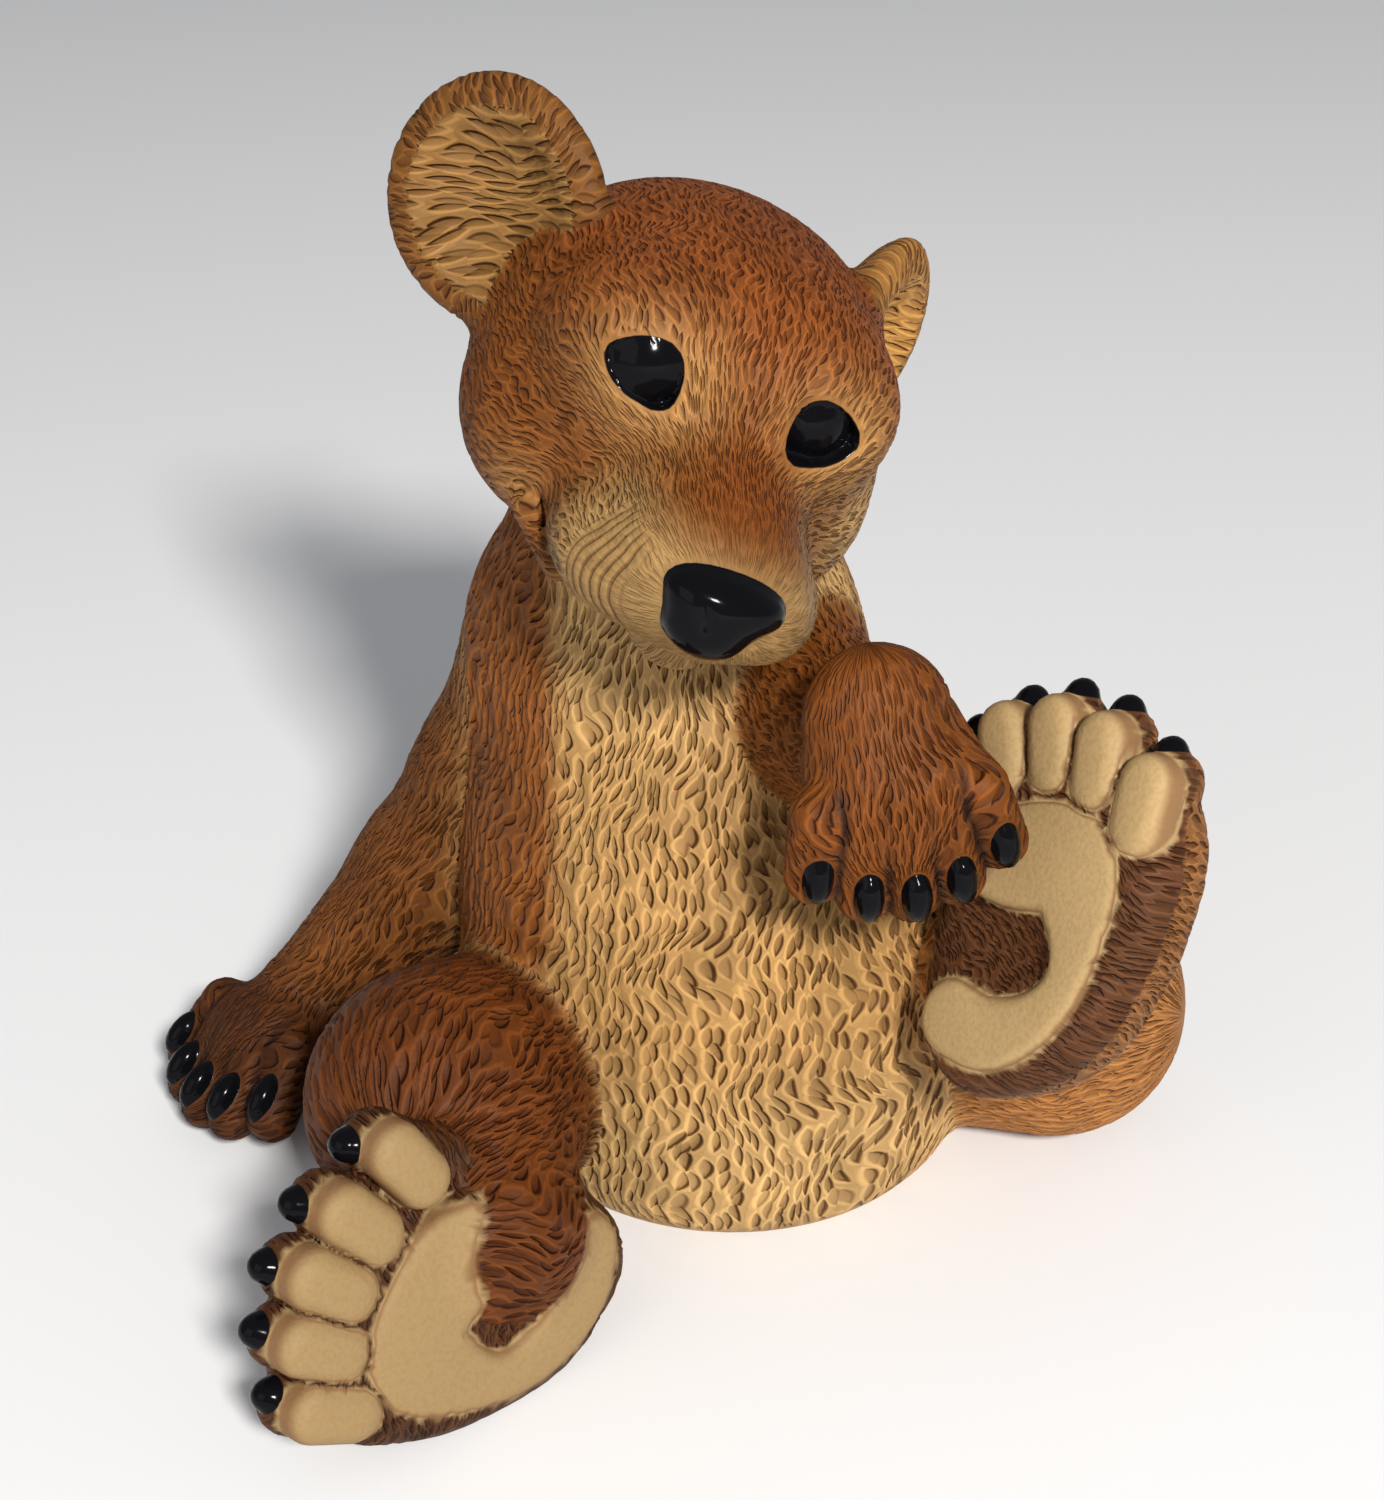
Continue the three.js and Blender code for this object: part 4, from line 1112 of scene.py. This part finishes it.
# Each part on the cub's right side is mixed darker than its twin on the left, which holds painted
# shade for the side turned from the light.
COAT = {
    "torso": (158, 120, 71),
    "head": (108, 60, 21),
    "right_arm": (98, 56, 21),
    "left_arm": (112, 62, 22),
    "right_leg": (90, 46, 15),
    "left_leg": (158, 104, 54),
    "right_foot": (84, 47, 21),
    "left_foot": (122, 80, 43),
    "right_hand": (72, 38, 13),
    "left_hand": (104, 56, 18),
    "right_arch": (68, 40, 21),
    "left_arch": (84, 51, 29),
    "right_dish": (128, 92, 49),
    "left_dish": (168, 122, 64),
    "right_ear": (108, 68, 29),
    "left_ear": (152, 106, 52),
}
TAN = colour(178, 134, 78)
PALE_TAN = colour(176, 147, 101)
BROWN = colour(118, 68, 27)
RED_BROWN = colour(118, 61, 23)
PALE_BELLY = colour(182, 146, 94)
MUZZLE_TAN = colour(154, 122, 76)
SHADED_PAD = colour(150, 124, 84)
# Painted shade for the clefts between the fingers.
CLEFT_SHADE = colour(44, 22, 9)

# Paint of the edge of the pads and of the black parts, and what the dark wash with painted shade in
# the recesses and the dry brush with painted highlight on the ridges leave of the coat under them.
PAD_EDGE = (0.2, 0.095, 0.04, 1.0)
GLOSS_BLACK = (0.003, 0.003, 0.004, 1.0)
DARK_WASH_AND_SHADE = (0.24, 0.17, 0.12)
DRY_BRUSH_AND_HIGHLIGHT = (1.5, 1.55, 1.6)

# Millimetres over which the colours of two parts flow into each other.
SEAM_BLEND = 2.0


def sprayed(coat, paint, strength):
    strength = np.clip(strength, 0, 1)[:, None]
    return coat * (1 - strength) + np.array(paint) * strength


def spot_of(x, y, z, at, radii):
    """A soft round spray, 1 in the middle."""
    square = sum(((v - c) / r) ** 2 for v, c, r in zip((x, y, z), at, radii))
    return np.exp(-square)


def torso_sprayed(coat, here, x, y, z):
    """Paler on the chest and low on the belly, and brown on the flanks and back. The pale chest is
    partly painted light against the shade under the chin; the brown beside the right arm is partly
    painted shade of the arm.
    """
    chest_with_painted_light = smooth_ramp(105, 150, z)
    low_belly = smooth_ramp(60, 25, z)
    coat = sprayed(coat, PALE_BELLY, 0.8 * here * np.maximum(chest_with_painted_light, low_belly))
    arm_shade_and_flank = smooth_ramp(-27, -36, x + 12 * smooth_ramp(80, 50, z))
    return sprayed(coat, BROWN, here * np.maximum(arm_shade_and_flank, smooth_ramp(-12, 14, y)))


def head_sprayed(coat, here, x, y, z):
    """Reddish crown and bridge, tan brows, muzzle and cheeks."""
    side = np.abs(x)
    coat = sprayed(coat, RED_BROWN, 0.8 * here * smooth_ramp(8, 32, z))
    coat = sprayed(coat, TAN, 0.75 * here * spot_of(side, y, z, (22, -44, 15), (15, 14, 13)))
    muzzle = smooth_ramp(-38, -62, y) * smooth_ramp(4, -8, z)
    coat = sprayed(coat, MUZZLE_TAN, 0.85 * here * muzzle)
    coat = sprayed(coat, TAN, 0.5 * here * spot_of(side, y, z, (33, -26, -22), (9, 11, 9)))
    coat = sprayed(coat, RED_BROWN, 0.8 * here * spot_of(x, y, z, (3, -62, 8), (13, 14, 9)))
    left_cheek = spot_of(x, y, z, (38, -22, -8), (14, 18, 18))
    return sprayed(coat, PALE_BELLY, 0.9 * here * left_cheek)


def clefts_shaded(coat, here, x, y, z):
    """Painted shade in the clefts between the fingers."""
    each = np.sort([finger(x, y, z) for finger in finger_flesh], axis=0)
    cleft_shade = smooth_ramp(2.2, 0.3, each[1] - each[0]) * smooth_ramp(4, 1, each[1])
    return sprayed(coat, CLEFT_SHADE, here * cleft_shade)


def coat_at(spots, region, depths, pad):
    """Paint of each point: a colour for each part that flows into the next, then the sprays."""
    x, y, z = spots.T
    nearness = np.exp(-(depths - depths.min(axis=0)) / SEAM_BLEND)
    paints = np.array([colour(*COAT[name]) for name in REGIONS])
    coat = (nearness.T @ paints) / nearness.sum(axis=0)[:, None]
    for name in ("right_dish", "left_dish", "right_arch", "left_arch"):
        coat[region == REGIONS.index(name)] = paints[REGIONS.index(name)]
    coat = torso_sprayed(coat, region == REGIONS.index("torso"), x, y, z)
    coat = head_sprayed(coat, region == REGIONS.index("head"), *local_to(HEAD, x, y, z))
    for name, axes in (("right_hand", RIGHT_HAND), ("left_hand", LEFT_HAND)):
        coat = clefts_shaded(coat, region == REGIONS.index(name), *local_to(axes, x, y, z))
    # Painted shade: the pads of the right foot are painted darker than those of the left.
    pad_paint = np.where(x[:, None] < 0, SHADED_PAD, PALE_TAN)
    return sprayed(coat, pad_paint, smooth_ramp(0.6, 0.3, pad))


# The carved points are drawn back onto the smooth clay, where the regions are told apart.
SETTLING_STEPS = 3
rest = triples(carved.vertices, "co") * METRE
for step in range(SETTLING_STEPS):
    rest = settled(rest, bear)
x, y, z = rest.T
depths = depths_of(x, y, z)
region = region_of(x, y, z, depths)
black = black_depth(x, y, z)
pad = pad_depth(x, y, z)
for name in ("fur", "pile", "crease"):
    if name in carved.attributes:
        carved.attributes.remove(carved.attributes[name])
carve_depths(carved, rest, region, np.minimum(black, pad))
per_point(carved, "black", "FLOAT", black)
per_point(carved, "pad", "FLOAT", pad)
coat = coat_at(rest, region, depths, pad)
per_point(carved, "coat", "FLOAT_COLOR", np.column_stack([coat, np.ones(len(rest))]))

# Each face takes the stroke coordinates of one region at all its corners.
corners = np.empty(len(carved.loops), np.int32)
carved.loops.foreach_get("vertex_index", corners)
assert len(corners) == 3 * len(carved.polygons)
triangles = corners.reshape(-1, 3)
own = region[triangles]
own = np.where(own[:, 1] == own[:, 2], own[:, 1], own[:, 0])
flow = fur_at(rest[corners], np.repeat(own, 3)).reshape(-1, 3, 3)
turns = np.array([2 * math.pi * FUR[name][4] / FUR[name][2] for name in REGIONS])[own]
turns = np.maximum(turns, 1e-3)[:, None]
laps = np.round((flow[:, :1, 1] - flow[:, :, 1]) / turns) * (turns > 1)
flow[:, :, 1] += laps * turns
layer = carved.attributes.new("fur", "FLOAT_VECTOR", "CORNER")
layer.data.foreach_set("vector", flow.astype(np.float32).ravel())
carved.shade_smooth()

resin_paint.use_nodes = True
wiring = Wiring(resin_paint.node_tree)
shader = resin_paint.node_tree.nodes["Principled BSDF"]


def painted(name):
    return wiring.node("ShaderNodeAttribute", attribute_name=name).outputs


def mixed(share, first, second):
    made = wiring.node("ShaderNodeMix", {0: share, 6: first, 7: second}, data_type="RGBA")
    return made.outputs[2]


stroke_flow = painted("fur")["Vector"]
height, wash_and_shade, brush_and_highlight, chance, sway = carved_strokes(wiring, stroke_flow)
fold = fine_folds(wiring, stroke_flow, sway, painted("crease")["Fac"])
pile = painted("pile")["Fac"]

# Where the black paint and the pads lie and how much of the coat is furred, each from 0 to 1.
is_black = wiring.ramp(painted("black")["Fac"], -0.12, 0.12, 1.0, 0.0)
is_pad = wiring.ramp(painted("pad")["Fac"], -0.5, 0.3, 1.0, 0.0)
furred = wiring.ramp(pile, 0.05, 0.42)

# Fine grain and broad clouds, counted per metre.
GRAIN_SCALE = 900.0
CLOUD_SCALE = 45.0
place = wiring.node("ShaderNodeTexCoord").outputs["Object"]
grain = wiring.node("ShaderNodeTexNoise", {"Vector": place, "Scale": GRAIN_SCALE, "Detail": 3.0})
cloud = wiring.node("ShaderNodeTexNoise", {"Vector": place, "Scale": CLOUD_SCALE, "Detail": 2.0})

# The coat is a little lighter or darker from stroke to stroke, darker in the recesses and folds by
# dark wash and painted shade, paler on the ridges by dry brush and painted highlight; over it lie
# the pads with their darker edges, and the gloss black.
coat = painted("coat")["Color"]
tone = wiring.ramp(chance, 0.0, 1.0, 0.88, 1.1)
tone = wiring.sums("MULTIPLY", tone, wiring.ramp(cloud.outputs["Fac"], 0.3, 0.7, 0.88, 1.1))
grey = wiring.node("ShaderNodeCombineXYZ", {0: tone, 1: tone, 2: tone}).outputs[0]
toned = wiring.vectors("MULTIPLY", coat, grey)
wash_and_shade_colour = wiring.vectors("MULTIPLY", toned, DARK_WASH_AND_SHADE)
# Painted shade with the dark wash, in the scoops and at the bottom of the fine folds.
wash_and_shade_share = wiring.sums("MULTIPLY", wiring.sums("MULTIPLY", wash_and_shade, furred), 0.95)
wash_and_shade_share = wiring.sums("MAXIMUM", wash_and_shade_share, wiring.sums("MULTIPLY", fold, 0.6))
furry = mixed(wash_and_shade_share, toned, wash_and_shade_colour)
brush_and_highlight_colour = wiring.vectors("MULTIPLY", toned, DRY_BRUSH_AND_HIGHLIGHT)
# Painted highlight with the dry brush on the ridges.
brush_and_highlight_share = wiring.sums("MULTIPLY", wiring.sums("MULTIPLY", brush_and_highlight, furred), 0.75)
furry = mixed(brush_and_highlight_share, furry, brush_and_highlight_colour)
pad_tone = wiring.ramp(grain.outputs["Fac"], 0.33, 0.6, 0.82, 1.0)
pad_rim = wiring.ramp(painted("pad")["Fac"], -1.7, 0.0, 1.0, 0.05)
pad_colour = mixed(wiring.sums("MULTIPLY", pad_tone, pad_rim), PAD_EDGE, coat)
skin_colour = mixed(is_pad, furry, pad_colour)
final = mixed(is_black, skin_colour, GLOSS_BLACK)

# The same strokes and folds as finer relief, and a little grain on all but the gloss black.
BUMP_DISTANCE = 0.0007
relief = wiring.sums("MULTIPLY_ADD", fold, -FOLD_DEPTH, wiring.sums("MULTIPLY", height, pile))
grain_height = wiring.ramp(is_black, 0.0, 1.0, 0.2, 0.0)
relief = wiring.sums("MULTIPLY_ADD", grain.outputs["Fac"], grain_height, relief)
bump = wiring.node("ShaderNodeBump", {"Height": relief, "Distance": BUMP_DISTANCE, "Strength": 1.0})
roughness = wiring.ramp(is_black, 0.0, 1.0, 0.55, 0.12)
shine = wiring.ramp(is_black, 0.0, 1.0, 0.12, 0.09)
tree = resin_paint.node_tree
tree.links.new(final, shader.inputs["Base Color"])
tree.links.new(bump.outputs[0], shader.inputs["Normal"])
tree.links.new(roughness, shader.inputs["Roughness"])
tree.links.new(shine, shader.inputs["Specular IOR Level"])

cub = bpy.data.objects.new("bear_figure", carved)
carved.materials.clear()
carved.materials.append(resin_paint)
bpy.context.scene.collection.objects.link(cub)
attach(cub, "root")
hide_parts("bear_casting")

bpy.context.view_layer.update()
